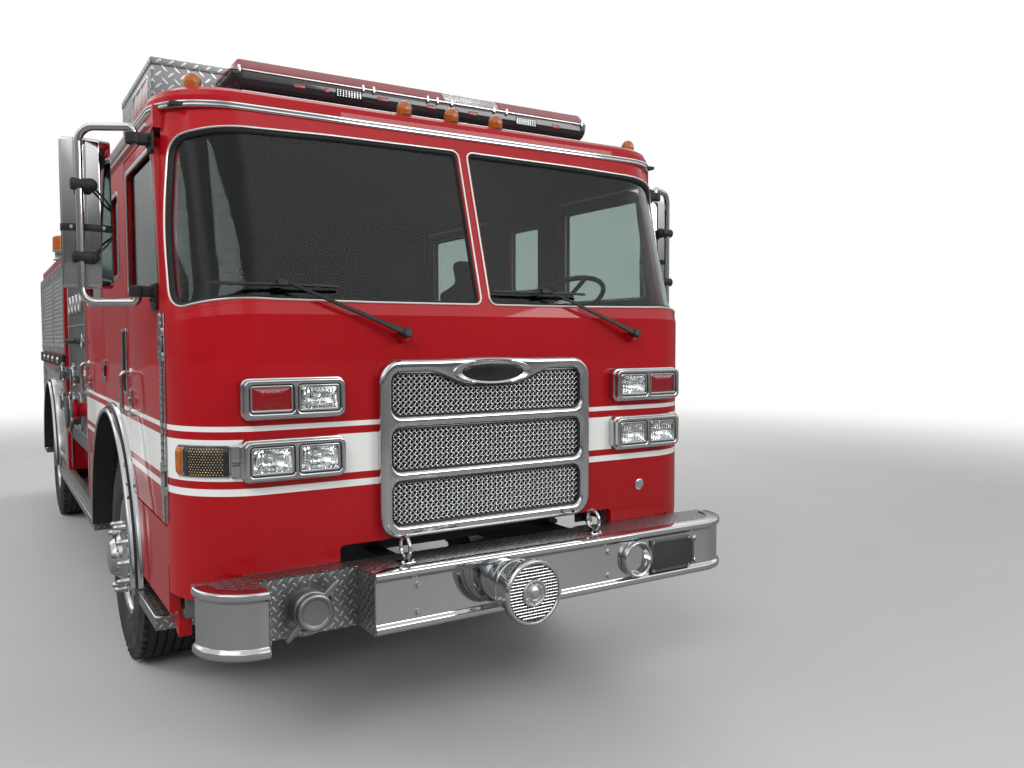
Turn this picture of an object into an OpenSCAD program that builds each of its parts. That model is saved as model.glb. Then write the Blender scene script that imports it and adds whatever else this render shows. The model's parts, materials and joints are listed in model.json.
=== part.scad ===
// Fire engine, a custom cab pumper: cab, pump house and body on one chassis.
// The front faces -Y, the driver sits at +X, and the ground is z = 0.

/* [Whole vehicle] */
// Length from the siren face to the tailboard
overall_l = 8070; // [7900:10:8300]
// Width over the cab sides
cab_w = 2440; // [2400:10:2500]
// How far the siren face stands ahead of the flat cab face
nose_reach = 470; // [450:5:500]
// Distance from the cab face to the front axle
front_axle_y = 1700; // [1680:5:1720]
// Distance between the axles
wheelbase = 4300; // [4250:10:4350]
// Outer radius of the tyres
tyre_r = 530; // [500:5:540]
// Width of one tyre
tyre_w = 300; // [280:5:310]

/* [Cab] */
// Underside of the cab skin
cab_z0 = 800; // [790:5:820]
// Height where the front starts to lean back
fold_z = 1740; // [1730:5:1750]
// Backward lean of the windshield in degrees
lean = 17; // [15:0.5:18]
// Underside of the roof
roof_z = 2530; // [2520:5:2540]
// Radius of the front corners in plan
corner_r = 300; // [280:5:300]
// Length of the cab
cab_l = 3020; // [3000:10:3040]
// Thickness of the cab walls and doors
wall = 40; // [30:1:45]
// Gap round each door
door_gap = 6; // [5:0.5:8]

/* [Bumper] */
// Front plane of the bumper, ahead of the cab face
bumper_reach = 256; // [250:1:260]
// Top of the bumper and its deck
bumper_top = 805; // [800:1:810]
// Underside of the bumper
bumper_z0 = 576; // [570:1:580]
// Bend radius of the bumper ends
bumper_r = 200; // [190:5:210]

/* [Grille] */
// Half width of the grille surround
grille_hw = 503; // [495:1:510]
// Lowest edge of the surround
grille_z0 = 865; // [862:1:870]
// Highest edge of the surround
grille_z1 = 1567; // [1560:1:1570]
// Depth of the surround ahead of the cab face
grille_t = 45; // [35:1:50]

/* [Body] */
// Front of the pump house
pump_y = 3060; // [3050:5:3080]
// Front of the rear body
body_y = 4500; // [4460:10:4540]
// Top of the side compartments
body_top = 2260; // [2240:10:2280]
// Length of the tailboard
tailboard_l = 350; // [330:10:370]

/* [Hidden] */

cab_y = nose_reach - overall_l / 2;
tail_y = overall_l - nose_reach;
rear_y = tail_y - tailboard_l;
half_w = cab_w / 2;
rear_axle_y = front_axle_y + wheelbase;
axle_z = tyre_r;
big = 6000;

// Wheel arch sizes, measured from the axle
arch_r = 750;
door_arch_r = 830;

// Doors, as Y and Z from the cab face and the ground
door_z0 = 950;
door_z1 = 2440;
front_door_y0 = 305;
front_door_y1 = 1160;
crew_door_y0 = 2020;
crew_door_y1 = 2900;
door_lean_y = 405;
hinge_r = 9;
front_hinge_z = [1100, 1600];
crew_hinge_z = [1450, 2250];

// Windshield outline on the leaning face, from the fold
pane_s0 = 50;
pane_s1 = 750;
pane_x0 = 30;
pane_x1 = 1205;
pane_r = 90;
glass_t = 8;
post_w = 40;

// Frame rails
rail_x = 430;
rail_w = 80;
rail_z0 = 620;
rail_z1 = 880;

// Inner face of the bumper skin, and the deck plate
skin_y = -bumper_reach + 20;
deck_t = 5;
deck_z = bumper_top - 6;

// Kingpins and hubs
kingpin_x = 840;
front_track_x = 1045;
rear_outer_x = 1055;
rear_inner_x = 710;
spindle_r = 45;
fit_gap = 0.3;

// Mirror arm
mirror_pivot = [1285, 420];
mirror_tube = [1463, 520];
mirror_z0 = 1830;
mirror_z1 = 2440;
tube_r = 16;

// Wipers: pivots on the cowl, place from the fold down the leaning plane
wiper_s = -82;
wiper_x_right = -393;
wiper_x_left = 757;
wiper_off = 24;
wiper_pin_r = 11;

module on_truck() translate([0, cab_y, 0]) children();

module both() {
    children();
    mirror([1, 0, 0]) children();
}

module box(x0, x1, y0, y1, z0, z1)
    translate([x0, y0, z0]) cube([x1 - x0, y1 - y0, z1 - z0]);

// A rod between two points
module rod(p, q, r, fn = 24) {
    d = q - p;
    len = norm(d);
    translate(p) rotate([0, acos(d[2] / len), atan2(d[1], d[0])])
        cylinder(r = r, h = len, $fn = fn);
}

// An outline drawn in Y and Z, extruded from x0 to x1
module side_plate(x0, x1)
    translate([x0, 0, 0]) rotate([90, 0, 90]) linear_extrude(x1 - x0) children();

// An outline drawn in X and Z, extruded from y0 back to y1
module front_plate(y0, y1)
    translate([0, y1, 0]) rotate([90, 0, 0]) linear_extrude(y1 - y0) children();

module round_rect(x0, x1, y0, y1, r) {
    translate([x0 + r, y0]) square([x1 - x0 - 2 * r, y1 - y0]);
    translate([x0, y0 + r]) square([x1 - x0, y1 - y0 - 2 * r]);
    for (x = [x0 + r, x1 - r], y = [y0 + r, y1 - r])
        translate([x, y]) circle(r = r, $fn = 32);
}

// Points of an ellipse, for ovals that hold no fit
function oval(rx, ry, n = 32) = [for (i = [0 : n - 1]) [rx * cos(360 * i / n), ry * sin(360 * i / n)]];

// Points of an arc in degrees
function arc(cx, cy, r, a0, a1, n) =
    [for (i = [0 : n]) let (a = a0 + (a1 - a0) * i / n) [cx + r * cos(a), cy + r * sin(a)]];

// Plan of the cab with rounded front corners, moved inwards by inset
module cab_plan(inset = 0) {
    w = half_w - inset;
    translate([-w, corner_r]) square([2 * w, cab_l - inset - corner_r]);
    translate([-(half_w - corner_r), inset]) square([2 * (half_w - corner_r), corner_r]);
    for (s = [-1, 1]) translate([s * (half_w - corner_r), corner_r])
        circle(r = corner_r - inset, $fn = 72);
}

// Places children on the leaning upper front, with z up the slope from the fold
module leaning() translate([0, 0, fold_z]) rotate([-lean, 0, 0]) children();

// Half space above the mitre between the upright and leaning fronts
module above_mitre()
    translate([0, 0, fold_z]) rotate([-lean / 2, 0, 0]) translate([-big / 2, -big / 2, 0])
        cube([big, big, big / 2]);

// Windshield outline in X and slope height, with tight corners by the centre post
module pane_outline() {
    round_rect(pane_x0, pane_x0 + 400, pane_s0, pane_s1, 30);
    round_rect(pane_x0 + 200, pane_x1, pane_s0, pane_s1, pane_r);
}

// Prism of the pane outline through the leaning front, ending a post's width ahead of the doors
module pane_cut() intersection() {
    leaning() front_plate(-60, 207) pane_outline();
    side_plate(-half_w - 1, half_w + 1) ahead_of_doors(door_gap + post_w);
}

function front_door_points(g) = concat(
    [[front_door_y0 - g, door_z0 - g], [front_door_y0 - g, fold_z + 20],
     [door_lean_y - g, door_z1 + g], [front_door_y1 + g, door_z1 + g]],
    arc(front_axle_y, axle_z, door_arch_r - g,
        180 - acos((front_axle_y - front_door_y1 - g) / (door_arch_r - g)),
        180 - asin((door_z0 - g - axle_z) / (door_arch_r - g)), 6));

function crew_door_points(g) = concat(
    [[crew_door_y0 - g, door_z1 + g], [crew_door_y1 + g, door_z1 + g],
     [crew_door_y1 + g, door_z0 - g]],
    arc(front_axle_y, axle_z, door_arch_r - g,
        asin((door_z0 - g - axle_z) / (door_arch_r - g)),
        acos((crew_door_y0 - g - front_axle_y) / (door_arch_r - g)), 6));

// Chassis

module frame_rails() color("dimgray") on_truck() {
    both() {
        box(rail_x - rail_w / 2, rail_x + rail_w / 2, 240, rear_y, rail_z0, rail_z1);
        box(rail_x - rail_w / 2, rail_x + rail_w / 2, skin_y, 240, rail_z0, 780);
    }
    for (y = [260, 2600, 3800, 5150, 6750, 7150])
        box(-rail_x + rail_w / 2, rail_x - rail_w / 2, y, y + 60, rail_z0 + 150, rail_z1);
}

// Stack of leaves, longest on top, centred on an axle
module leaf_spring(y, half, z)
    for (i = [0 : 3])
        box(rail_x - 38, rail_x + 38, y - half * (1 - i * 0.2), y + half * (1 - i * 0.2),
            z - 16 * (i + 1), z - 16 * i);

module front_axle() color("dimgray") on_truck() {
    z_beam = axle_z - 60;
    both() {
        leaf_spring(front_axle_y, 650, rail_z0);
        box(rail_x - 45, rail_x + 45, front_axle_y - 60, front_axle_y + 60, z_beam + 50,
            rail_z0 - 60);
        box(kingpin_x - 130, kingpin_x - 40, front_axle_y - 40, front_axle_y + 40,
            axle_z - 55, axle_z + 35);
        difference() {
            translate([kingpin_x, front_axle_y, axle_z - 45]) cylinder(r = 50, h = 80, $fn = 48);
            translate([kingpin_x, front_axle_y, 0])
                cylinder(r = 28 + fit_gap, h = 1000, $fn = 48);
        }
    }
    box(-(kingpin_x - 120), kingpin_x - 120, front_axle_y - 50, front_axle_y + 50,
        z_beam - 60, z_beam + 50);
}

rear_leaf_z = axle_z - 100;

module rear_axle() color("dimgray") on_truck() {
    both() {
        leaf_spring(rear_axle_y, 700, rear_leaf_z);
        box(rail_x - 45, rail_x + 45, rear_axle_y - 70, rear_axle_y + 70, rear_leaf_z,
            axle_z - 20);
        for (s = [-1, 1]) box(rail_x - 30, rail_x + 30, rear_axle_y + s * 670 - 30,
            rear_axle_y + s * 670 + 30, rear_leaf_z - 1, rail_z0);
        rod([rail_x - 120, rear_axle_y, axle_z], [rear_outer_x + 125, rear_axle_y, axle_z],
            spindle_r, 48);
    }
    rod([-540, rear_axle_y, axle_z], [540, rear_axle_y, axle_z], 75, 48);
    translate([0, rear_axle_y, axle_z]) rotate([90, 0, 0])
        cylinder(r = 190, h = 260, center = true, $fn = 48);
}

module drivetrain() color("slategray") on_truck() {
    box(-330, 330, 700, 1500, 640, rail_z1);
    box(-260, 260, 1500, 2250, 560, 860);
    rod([0, 2250, 690], [0, rear_axle_y - 190, 570], 50);
    translate([0, rear_axle_y - 130, 570]) rotate([90, 0, 0]) cylinder(r = 58, h = 70, $fn = 32);
}

// Bumper

bumper_hw = 1212;
bay_x0 = -1000;
bay_x1 = -617;
bay_y = -90;

// Bumper profile as depth and height: top lip, set-back face, kicked lower lip
function bumper_profile(y) = [
    [y + 58, bumper_top - 6], [y + 58, bumper_top], [y + 8, bumper_top],
    [y, bumper_top - 8], [y, bumper_top - 24], [y + 12, bumper_top - 34],
    [y + 12, bumper_z0 + 36], [y, bumper_z0 + 26], [y, bumper_z0 + 4],
    [y + 4, bumper_z0], [y + 58, bumper_z0], [y + 58, bumper_z0 + 8],
    [y + 10, bumper_z0 + 8], [y + 10, bumper_z0 + 20], [y + 20, bumper_z0 + 32],
    [y + 20, bumper_top - 30], [y + 10, bumper_top - 18], [y + 10, bumper_top - 6]];

module bumper_strip(x0, x1) side_plate(x0, x1) polygon(bumper_profile(-bumper_reach));

module bumper_corner()
    translate([bumper_hw - bumper_r, bumper_r - bumper_reach, 0])
        rotate([0, 0, -90]) rotate_extrude(angle = 90, $fn = 96)
            polygon([for (p = bumper_profile(0)) [bumper_r - p[0], p[1]]]);

module bumper() color("silver") on_truck() difference() {
    union() {
        bumper_strip(bay_x1, bumper_hw - bumper_r);
        bumper_corner();
        bumper_strip(-(bumper_hw - bumper_r), bay_x0);
        mirror([1, 0, 0]) bumper_corner();
    }
    translate([siren_x, 0, siren_z]) rotate([90, 0, 0]) cylinder(r = siren_r, h = 400, $fn = 64);
    translate([horn_x, 0, horn_z]) rotate([90, 0, 0]) cylinder(r = 62, h = 400, $fn = 64);
}

// Plan of the deck between the bumper and the cab face
module deck_plan() difference() {
    union() {
        translate([-(bumper_hw - bumper_r), 10 - bumper_reach])
            square([2 * (bumper_hw - bumper_r), bumper_reach - 10]);
        translate([-(bumper_hw - 10), bumper_r - bumper_reach])
            square([2 * (bumper_hw - 10), bumper_reach - bumper_r]);
        for (s = [-1, 1]) translate([s * (bumper_hw - bumper_r), bumper_r - bumper_reach])
            circle(r = bumper_r - 10, $fn = 64);
    }
    translate([bay_x0, -bumper_reach - 20])
        square([bay_x1 - bay_x0, bay_y + bumper_reach + 20]);
    translate([-big / 2, 0]) square([big, 400]);
}

// Treadplate deck, and the folded plate of the recessed suction bay under it
module bumper_deck() color("lightgray") on_truck() difference() {
    union() {
        translate([0, 0, deck_z - deck_t]) linear_extrude(deck_t) deck_plan();
        box(bay_x0, bay_x1, bay_y, bay_y + deck_t, bumper_z0, deck_z);
        for (x = [bay_x0, bay_x1 - deck_t])
            box(x, x + deck_t, -bumper_reach + 6, bay_y + deck_t, bumper_z0, deck_z);
    }
    translate([inlet_x, 0, inlet_z]) rotate([90, 0, 0]) cylinder(r = inlet_hole_r, h = 400, $fn = 64);
}

inlet_x = -815;
inlet_z = 678;
inlet_hole_r = 90;

// Suction pipe with its flange behind the bay plate and a long-lugged cap
module suction_inlet() color("gray") on_truck() translate([inlet_x, 0, inlet_z])
    rotate([90, 0, 0]) {
        difference() {
            union() {
                translate([0, 0, -200]) cylinder(r = 62, h = 330, $fn = 48);
                translate([0, 0, -(bay_y + deck_t) - 8]) cylinder(r = 112, h = 8, $fn = 48);
            }
            translate([0, 0, -201]) cylinder(r = 52, h = 320, $fn = 48);
        }
        translate([0, 0, 130]) cylinder(r = 72, h = 18, $fn = 48);
        translate([0, 0, 148]) cylinder(r = 66, h = 34, $fn = 48);
        for (a = [45, 225]) rotate([0, 0, a]) translate([50, -11, 134]) cube([88, 22, 18]);
    }

eye_x = 448;
eye_y = -137;
eye_r = 48;

module tow_eyes() color("silver") on_truck() both() translate([eye_x, eye_y, deck_z]) {
    difference() {
        union() {
            translate([0, 0, eye_r + 10]) rotate([0, 90, 0])
                cylinder(r = eye_r, h = 16, center = true, $fn = 48);
            box(-8, 8, -26, 26, 0, 22);
        }
        translate([0, 0, eye_r + 10]) rotate([0, 90, 0])
            cylinder(r = eye_r - 14, h = 40, center = true, $fn = 48);
    }
    box(-30, 30, -32, 32, 0, 4);
}

siren_x = -70;
siren_z = 700;
siren_r = 86;

// Mechanical siren: drum through the bumper, neck, louvred drum and grille face
module siren() color("silver") on_truck() translate([siren_x, 0, siren_z]) rotate([90, 0, 0]) {
    translate([0, 0, 120]) cylinder(r = siren_r, h = 170, $fn = 64);
    translate([0, 0, 290]) cylinder(r = 72, h = 24, $fn = 64);
    translate([0, 0, 314]) cylinder(r = 102, h = 106, $fn = 64);
    difference() {
        translate([0, 0, 420]) cylinder(r = 125, h = 40, $fn = 64);
        for (r = [62 : 14 : 104]) translate([0, 0, 450]) difference() {
            cylinder(r = r + 4, h = 20, $fn = 64);
            translate([0, 0, -1]) cylinder(r = r - 4, h = 22, $fn = 64);
        }
    }
    translate([0, 0, 460]) cylinder(r = 44, h = nose_reach - 460, $fn = 48);
}

horn_x = 595;
horn_z = 691;

module air_horn() color("silver") on_truck() translate([horn_x, 0, horn_z]) rotate([90, 0, 0])
    rotate_extrude($fn = 64) polygon(concat(
        [for (i = [0 : 8]) let (t = i / 8) [20 + 42 * pow(t, 2.4), 100 + 170 * t]],
        [[76, 274], [78, 270], [78, bumper_reach - 12], [62, bumper_reach - 12], [56, 240]],
        [for (i = [7 : -1 : 0]) let (t = i / 8) [26 + 38 * pow(t, 2.4), 94 + 160 * t]]));

module speaker() color("black") on_truck()
    difference() {
        front_plate(-bumper_reach - 2, -bumper_reach + 12) polygon([
            [684, 614], [905, 614], [934, 642], [934, 728], [905, 756], [684, 756]]);
        for (i = [0 : 7]) box(700, 905, -bumper_reach - 10, -bumper_reach + 4,
            626 + i * 15.5, 634 + i * 15.5);
    }

// Cab

notch_hw = 656;
notch_z = 862;
grille_panels = [[915, 1092], [1130, 1303], [1345, 1520]];
panel_hw = 452;

module cab_skin(z0, z1) linear_extrude(z1 - z0) difference() {
    cab_plan(0);
    cab_plan(wall);
}

// Lower front with its round corners, up to the mitre
module cab_front() color("firebrick") on_truck() difference() {
    union() {
        difference() {
            intersection() {
                translate([0, 0, cab_z0]) cab_skin(cab_z0, fold_z + 100);
                box(-half_w - 1, half_w + 1, -1, front_door_y0 - door_gap, 0, fold_z + 100);
            }
            above_mitre();
        }
        wiper_bosses(24, 50, 8);
        both() hinges(front_door_y0 - 4, front_hinge_z, false);
    }
    front_plate(-100, 200) {
        round_rect(-notch_hw, notch_hw, cab_z0 - 100, notch_z, 20);
        round_rect(-grille_hw + 30, grille_hw - 30, 905, 1530, 40);
    }
    wiper_bosses(wiper_pin_r + fit_gap, 80, 20);
}

// Round boss or bore for each wiper shaft, along the wiper axis
module wiper_bosses(r, inward, outward)
    for (x = [wiper_x_right, wiper_x_left]) leaning() translate([x, inward, wiper_s])
        rotate([90, 0, 0]) cylinder(r = r, h = inward + outward, $fn = 32);

// Region ahead of the front doors by a margin, in Y and Z
module ahead_of_doors(m) polygon([
    [-100, fold_z - 80], [front_door_y0 - m, fold_z - 80],
    [front_door_y0 - m, fold_z + 20], [door_lean_y - m, door_z1 + door_gap],
    [door_lean_y - m, roof_z], [-100, roof_z]]);

// Leaning frame round the windshield: sill, corner posts, centre post and header
module windshield_frame() color("firebrick") on_truck() difference() {
    intersection() {
        leaning() translate([0, 0, -100]) cab_skin(-100, 900);
        above_mitre();
        side_plate(-half_w - 1, half_w + 1) ahead_of_doors(door_gap);
    }
    both() pane_cut();
}

module windshield() color("darkslategray") on_truck() both() intersection() {
    pane_cut();
    leaning() translate([0, 0, -100]) linear_extrude(1100) difference() {
        cab_plan(14);
        cab_plan(14 + glass_t);
    }
}

roof_front_y = (roof_z - fold_z) * tan(lean);
rail_h = 28;
crown_h = 80;

module roof_plan(inset) {
    w = half_w - inset;
    r = corner_r - 20 - inset;
    yc = roof_front_y + corner_r - 20;
    translate([-w, yc]) square([2 * w, cab_l - inset - yc]);
    translate([-(w - r), roof_front_y + inset]) square([2 * (w - r), corner_r]);
    for (s = [-1, 1]) translate([s * (w - r), yc]) circle(r = r, $fn = 64);
}

// Crowned roof skin over the rail
module roof_dome() hull() {
    translate([0, 0, roof_z + rail_h]) linear_extrude(1) roof_plan(2);
    translate([0, 0, roof_z + crown_h - 30]) linear_extrude(1) roof_plan(12);
    translate([0, 0, roof_z + crown_h - 13]) linear_extrude(1) roof_plan(40);
    translate([0, 0, roof_z + crown_h - 1]) linear_extrude(1) roof_plan(130);
}

module cab_roof() color("firebrick") on_truck() {
    translate([0, 0, roof_z]) linear_extrude(rail_h) roof_plan(0);
    roof_dome();
}

// Upright grab rail on two posts that stand out towards +Y
module grab_rail(x, y, z0, z1, reach) {
    translate([x, y + reach, z0]) cylinder(r = 16, h = z1 - z0, $fn = 24);
    for (z = [z0 + 40, z1 - 40]) translate([x, y, z]) rotate([-90, 0, 0])
        cylinder(r = 12, h = reach, $fn = 24);
}

// Rail round the roof's edge, and grab rails on the back of the body
module bright_rails() color("silver") on_truck() {
    translate([0, 0, roof_z]) linear_extrude(rail_h) difference() {
        roof_plan(-14);
        roof_plan(0);
        translate([-big / 2, cab_l - 100]) square([big, big]);
    }
    both() {
        grab_rail(1185, rear_y, 1150, 2150, 60);
        grab_rail(300, rear_y, 1650, 2150, 60);
    }
}

floor_z0 = rail_z1;
floor_z1 = 945;
well_x = 560;
liner_r = arch_r + 20;

module liner_drum(r, x0, x1)
    translate([x0, front_axle_y, axle_z]) rotate([0, 90, 0]) cylinder(r = r, h = x1 - x0, $fn = 96);

module cab_floor() color("dimgray") on_truck() difference() {
    translate([0, 0, floor_z0]) linear_extrude(floor_z1 - floor_z0) cab_plan(wall);
    both() liner_drum(liner_r, well_x, half_w);
}

// Half round covers over the front wheels
module wheel_liners() color("dimgray") on_truck() both() difference() {
    liner_drum(liner_r, well_x, half_w - wall);
    liner_drum(arch_r, well_x + 20, half_w);
    box(0, big, 0, big, -big, floor_z0);
}

module cab_back() color("firebrick") on_truck()
    box(-half_w + wall, half_w - wall, cab_l - wall, cab_l, rail_z1, roof_z);

mid_window = [[1375, 1948], [1375, 2350], [1720, 2350], [1720, 1948]];

skirt_z = 620;

// Side wall: sill ahead of and behind the arch, pillars, and header over the doors
module cab_side() {
    difference() {
        side_plate(half_w - wall, half_w) polygon(concat(
            [[front_door_y0 - door_gap, skirt_z], [front_door_y0 - door_gap, roof_z],
             [cab_l, roof_z], [cab_l, skirt_z]],
            arc(front_axle_y, axle_z, arch_r, asin((skirt_z - axle_z) / arch_r),
                180 - asin((skirt_z - axle_z) / arch_r), 24)));
        side_plate(half_w - wall - 1, half_w + 1) {
            polygon(front_door_points(door_gap));
            polygon(crew_door_points(door_gap));
            polygon(mid_window);
            polygon([[0, cab_z0], [front_door_y0 - door_gap, cab_z0],
                [front_door_y0 - door_gap, fold_z + 20],
                [door_lean_y - door_gap, door_z1 + door_gap],
                [door_lean_y - door_gap, roof_z + 10], [0, roof_z + 10]]);
        }
    }
    hinges(crew_door_y0 - 4, crew_hinge_z, false);
}

module cab_side_left() color("firebrick") on_truck() cab_side();
module cab_side_right() color("firebrick") on_truck() mirror([1, 0, 0]) cab_side();

module side_windows() color("darkslategray") on_truck() both()
    side_plate(half_w - 24, half_w - 16) polygon(mid_window);

module grille_surround() color("silver") on_truck() difference() {
    front_plate(-grille_t, 0) round_rect(-grille_hw, grille_hw, grille_z0, grille_z1, 90);
    front_plate(-grille_t - 1, 1) difference() {
        for (p = grille_panels) round_rect(-panel_hw, panel_hw, p[0], p[1], 40);
        translate([0, 1513]) polygon(oval(190, 50));
    }
}

module grille_mesh() color("dimgray") on_truck()
    front_plate(-22, -14) difference() {
        for (p = grille_panels) round_rect(-panel_hw, panel_hw, p[0], p[1], 40);
        translate([0, 1513]) polygon(oval(190, 50));
    }

// Lamp groups beside the grille: [lowest, highest] edge of each bezel
bezel_x0 = 642;
bezel_x1 = 1026;
bezel_t = 61;
bezels = [[1137, 1291], [1361, 1511]];
lens_in = 24;
lens_mid = 834;

module lens_outline(k, half) {
    x0 = half == 0 ? bezel_x0 + lens_in : lens_mid + 7;
    x1 = half == 0 ? lens_mid - 7 : bezel_x1 - lens_in;
    round_rect(x0, x1, bezels[k][0] + lens_in, bezels[k][1] - lens_in, 14);
}

module lamp_bezels() color("silver") on_truck() both() difference() {
    front_plate(-bezel_t, 60) for (b = bezels) round_rect(bezel_x0, bezel_x1, b[0], b[1], 30);
    front_plate(-bezel_t - 1, -10) for (k = [0, 1], h = [0, 1]) lens_outline(k, h);
    translate([0, 0, cab_z0]) linear_extrude(1000) cab_plan(0);
}

// Two headlamps below, a clear and a red warning lamp above, on each side
module lamp_lenses() color("white") on_truck() both() front_plate(-bezel_t + 4, -10)
    for (k = [0, 1], h = [0, 1]) lens_outline(k, h);

// Turn lamps on the corners, roof markers and the beacons on the body
module amber_lamps() color("orange") on_truck() {
    both() intersection() {
        translate([0, 0, 1157]) linear_extrude(110) difference() {
            translate([half_w - corner_r, corner_r]) circle(r = corner_r + 26, $fn = 72);
            translate([half_w - corner_r, corner_r]) circle(r = corner_r, $fn = 72);
        }
        box(1060, half_w + 40, -20, 150, 1100, 1300);
    }
    difference() {
        for (p = [[-1075, 395], [-227, 310], [0, 310], [227, 310], [1075, 395]])
            translate([p[0], p[1], roof_z + crown_h - 20]) marker();
        roof_dome();
    }
    both() translate([1170, 5300, body_top + 80]) {
        cylinder(r = 46, h = 80, $fn = 32);
        translate([0, 0, 80]) cylinder(r = 64, h = 110, $fn = 48);
        translate([0, 0, 190]) cylinder(r1 = 64, r2 = 40, h = 24, $fn = 48);
    }
}

module marker() {
    cylinder(r = 32, h = 44, $fn = 32);
    translate([0, 0, 44]) sphere(r = 32, $fn = 32);
}

bar_y0 = 500;
bar_y1 = 800;
bar_hw = 900;
bar_z0 = roof_z + crown_h;
bar_z1 = 2800;

// Smoked lower half of the light bar on two feet
module light_bar() color("darkred") on_truck() {
    box(-bar_hw + 10, bar_hw - 10, bar_y0 + 4, bar_y1 - 4, bar_z0 + 55, bar_z0 + 135);
    both() box(560, 680, bar_y0 + 30, bar_y1 - 30, bar_z0, bar_z0 + 55);
}

// Peaked lens of the light bar, and the lamps on the back of the body
module red_lenses() color("red") on_truck() {
    side_plate(-bar_hw, bar_hw) polygon([
        [bar_y0, bar_z0 + 135], [bar_y0 + 40, bar_z1 - 8], [bar_y0 + 60, bar_z1],
        [bar_y1 - 60, bar_z1], [bar_y1 - 40, bar_z1 - 8], [bar_y1, bar_z0 + 135]]);
    both() for (z = [700, 850, 1000]) translate([0, rear_y + 14, 0]) rotate([90, 0, 0])
        linear_extrude(14) round_rect(960, 1140, z, z + 120, 16);
    both() translate([0, rear_y + 14, 0]) rotate([90, 0, 0])
        linear_extrude(14) round_rect(860, 1140, 1950, 2110, 16);
}

box_z1 = 2842;

module roof_box() color("lightgray") on_truck() difference() {
    box(-1150, -500, 840, 1690, roof_z + crown_h - 20, box_z1);
    roof_dome();
}

steer_x = 850;
steer_y = 640;
steer_z = 1850;
steer_tilt = 30;
steer_pin_r = 18;

// Places children on the steering column, with z up along its axis
module on_column() translate([steer_x, steer_y, steer_z]) rotate([-steer_tilt, 0, 0]) children();

// Dash across the cab, engine tunnel behind it and the fixed steering column
module dashboard() color("dimgray") on_truck() {
    box(-half_w + corner_r, half_w - corner_r, wall, 430, 1400, 1700);
    box(-400, 400, 430, 2100, floor_z1, 1420);
    difference() {
        on_column() translate([0, 0, -430]) cylinder(r = 36, h = 360, $fn = 32);
        on_column() translate([0, 0, -180])
            cylinder(r = steer_pin_r + fit_gap, h = 200, $fn = 32);
    }
}

// One seat facing forward with its front edge at y
module seat(x, y) translate([x, y, 0]) {
    box(-230, 230, 0, 440, floor_z1, 1330);
    box(-250, 250, -20, 460, 1330, 1430);
    side_plate(-250, 250) polygon([[360, 1430], [455, 1430], [520, 2140], [430, 2140]]);
}

module seats() color("black") on_truck() difference() {
    both() {
        seat(760, 1000);
        seat(760, 2420);
    }
    both() liner_drum(liner_r, well_x, half_w);
}

// Bright crowns round the wheel arches, front and rear
module fender(y, x0, x1, r0) intersection() {
    difference() {
        translate([x0, y, axle_z]) rotate([0, 90, 0]) cylinder(r = r0 + 50, h = x1 - x0, $fn = 96);
        translate([x0 - 1, y, axle_z]) rotate([0, 90, 0]) cylinder(r = r0, h = x1 - x0 + 2, $fn = 96);
    }
    box(0, big, 0, big * 2, 620, 2000);
}

module fenders() color("silver") on_truck() both() {
    fender(front_axle_y, half_w, half_w + 30, arch_r);
    fender(rear_axle_y, half_w, half_w + 30, arch_r - 30);
}

// Cab step below each front door, running boards and the tailboard
module steps() color("lightgray") on_truck() {
    both() {
        box(1010, 1240, 480, 900, 500, 556);
        box(1010, 1180, 480, 530, 556, 800);
        for (y = [[front_axle_y + 870, rear_axle_y - 780],
                  [rear_axle_y + 780, rear_y - 60]]) {
            box(1000, 1240, y[0], y[1], 500, 550);
            box(1180, 1220, y[0], y[1], 550, skirt_z);
        }
    }
    box(-1180, 1180, rear_y, tail_y, 560, skirt_z);
    both() {
        box(rail_x - 40, rail_x + 40, rear_y - 100, rear_y - 20, 530, rail_z0);
        box(rail_x - 40, rail_x + 40, rear_y - 100, tail_y - 100, 530, 560);
    }
}

// Doors, hinged at their front edges

module hinges(y, zs, door) for (z = zs)
    translate([half_w + hinge_r + 1, y, z])
        if (door) difference() {
            union() {
                cylinder(r = hinge_r, h = 60, $fn = 32);
                box(-hinge_r - 1, 0, 0, 40, 0, 60);
                box(-hinge_r - 21, -hinge_r - 1, 10, 40, 0, 60);
            }
            translate([0, 0, -1]) cylinder(r = 4 + fit_gap, h = 62, $fn = 32);
        }
        else {
            translate([0, 0, -30]) cylinder(r = 4, h = 120, $fn = 32);
            for (dz = [-30.5, 60.5]) translate([0, 0, dz]) {
                cylinder(r = hinge_r, h = 30, $fn = 32);
                box(-hinge_r - 1, 0, -24, 0, 0, 30);
                box(-hinge_r - 21, -hinge_r - 1, -24, -8, 0, 30);
            }
        }

front_window = [[440, 1840], [500, 2380], [1060, 2380], [1060, 1840]];
crew_window = [[2120, 1860], [2120, 2380], [2810, 2380], [2810, 1860]];

module door_handle(y, z) {
    translate([half_w, y, z]) rotate([0, 90, 0]) cylinder(r = 10, h = 40, $fn = 24);
    translate([half_w, y, z - 180]) rotate([0, 90, 0]) cylinder(r = 10, h = 40, $fn = 24);
    translate([half_w + 40, y, z - 190]) cylinder(r = 12, h = 200, $fn = 24);
}

module front_door() {
    difference() {
        side_plate(half_w - wall, half_w) polygon(front_door_points(0));
        side_plate(half_w - wall - 1, half_w + 1) polygon(front_window);
    }
    hinges(front_door_y0 - 4, front_hinge_z, true);
    door_handle(1110, 1500);
    mirror_mount();
}

module crew_door() {
    difference() {
        side_plate(half_w - wall, half_w) polygon(crew_door_points(0));
        side_plate(half_w - wall - 1, half_w + 1) polygon(crew_window);
    }
    hinges(crew_door_y0 - 4, crew_hinge_z, true);
    door_handle(2850, 1500);
}

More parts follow.
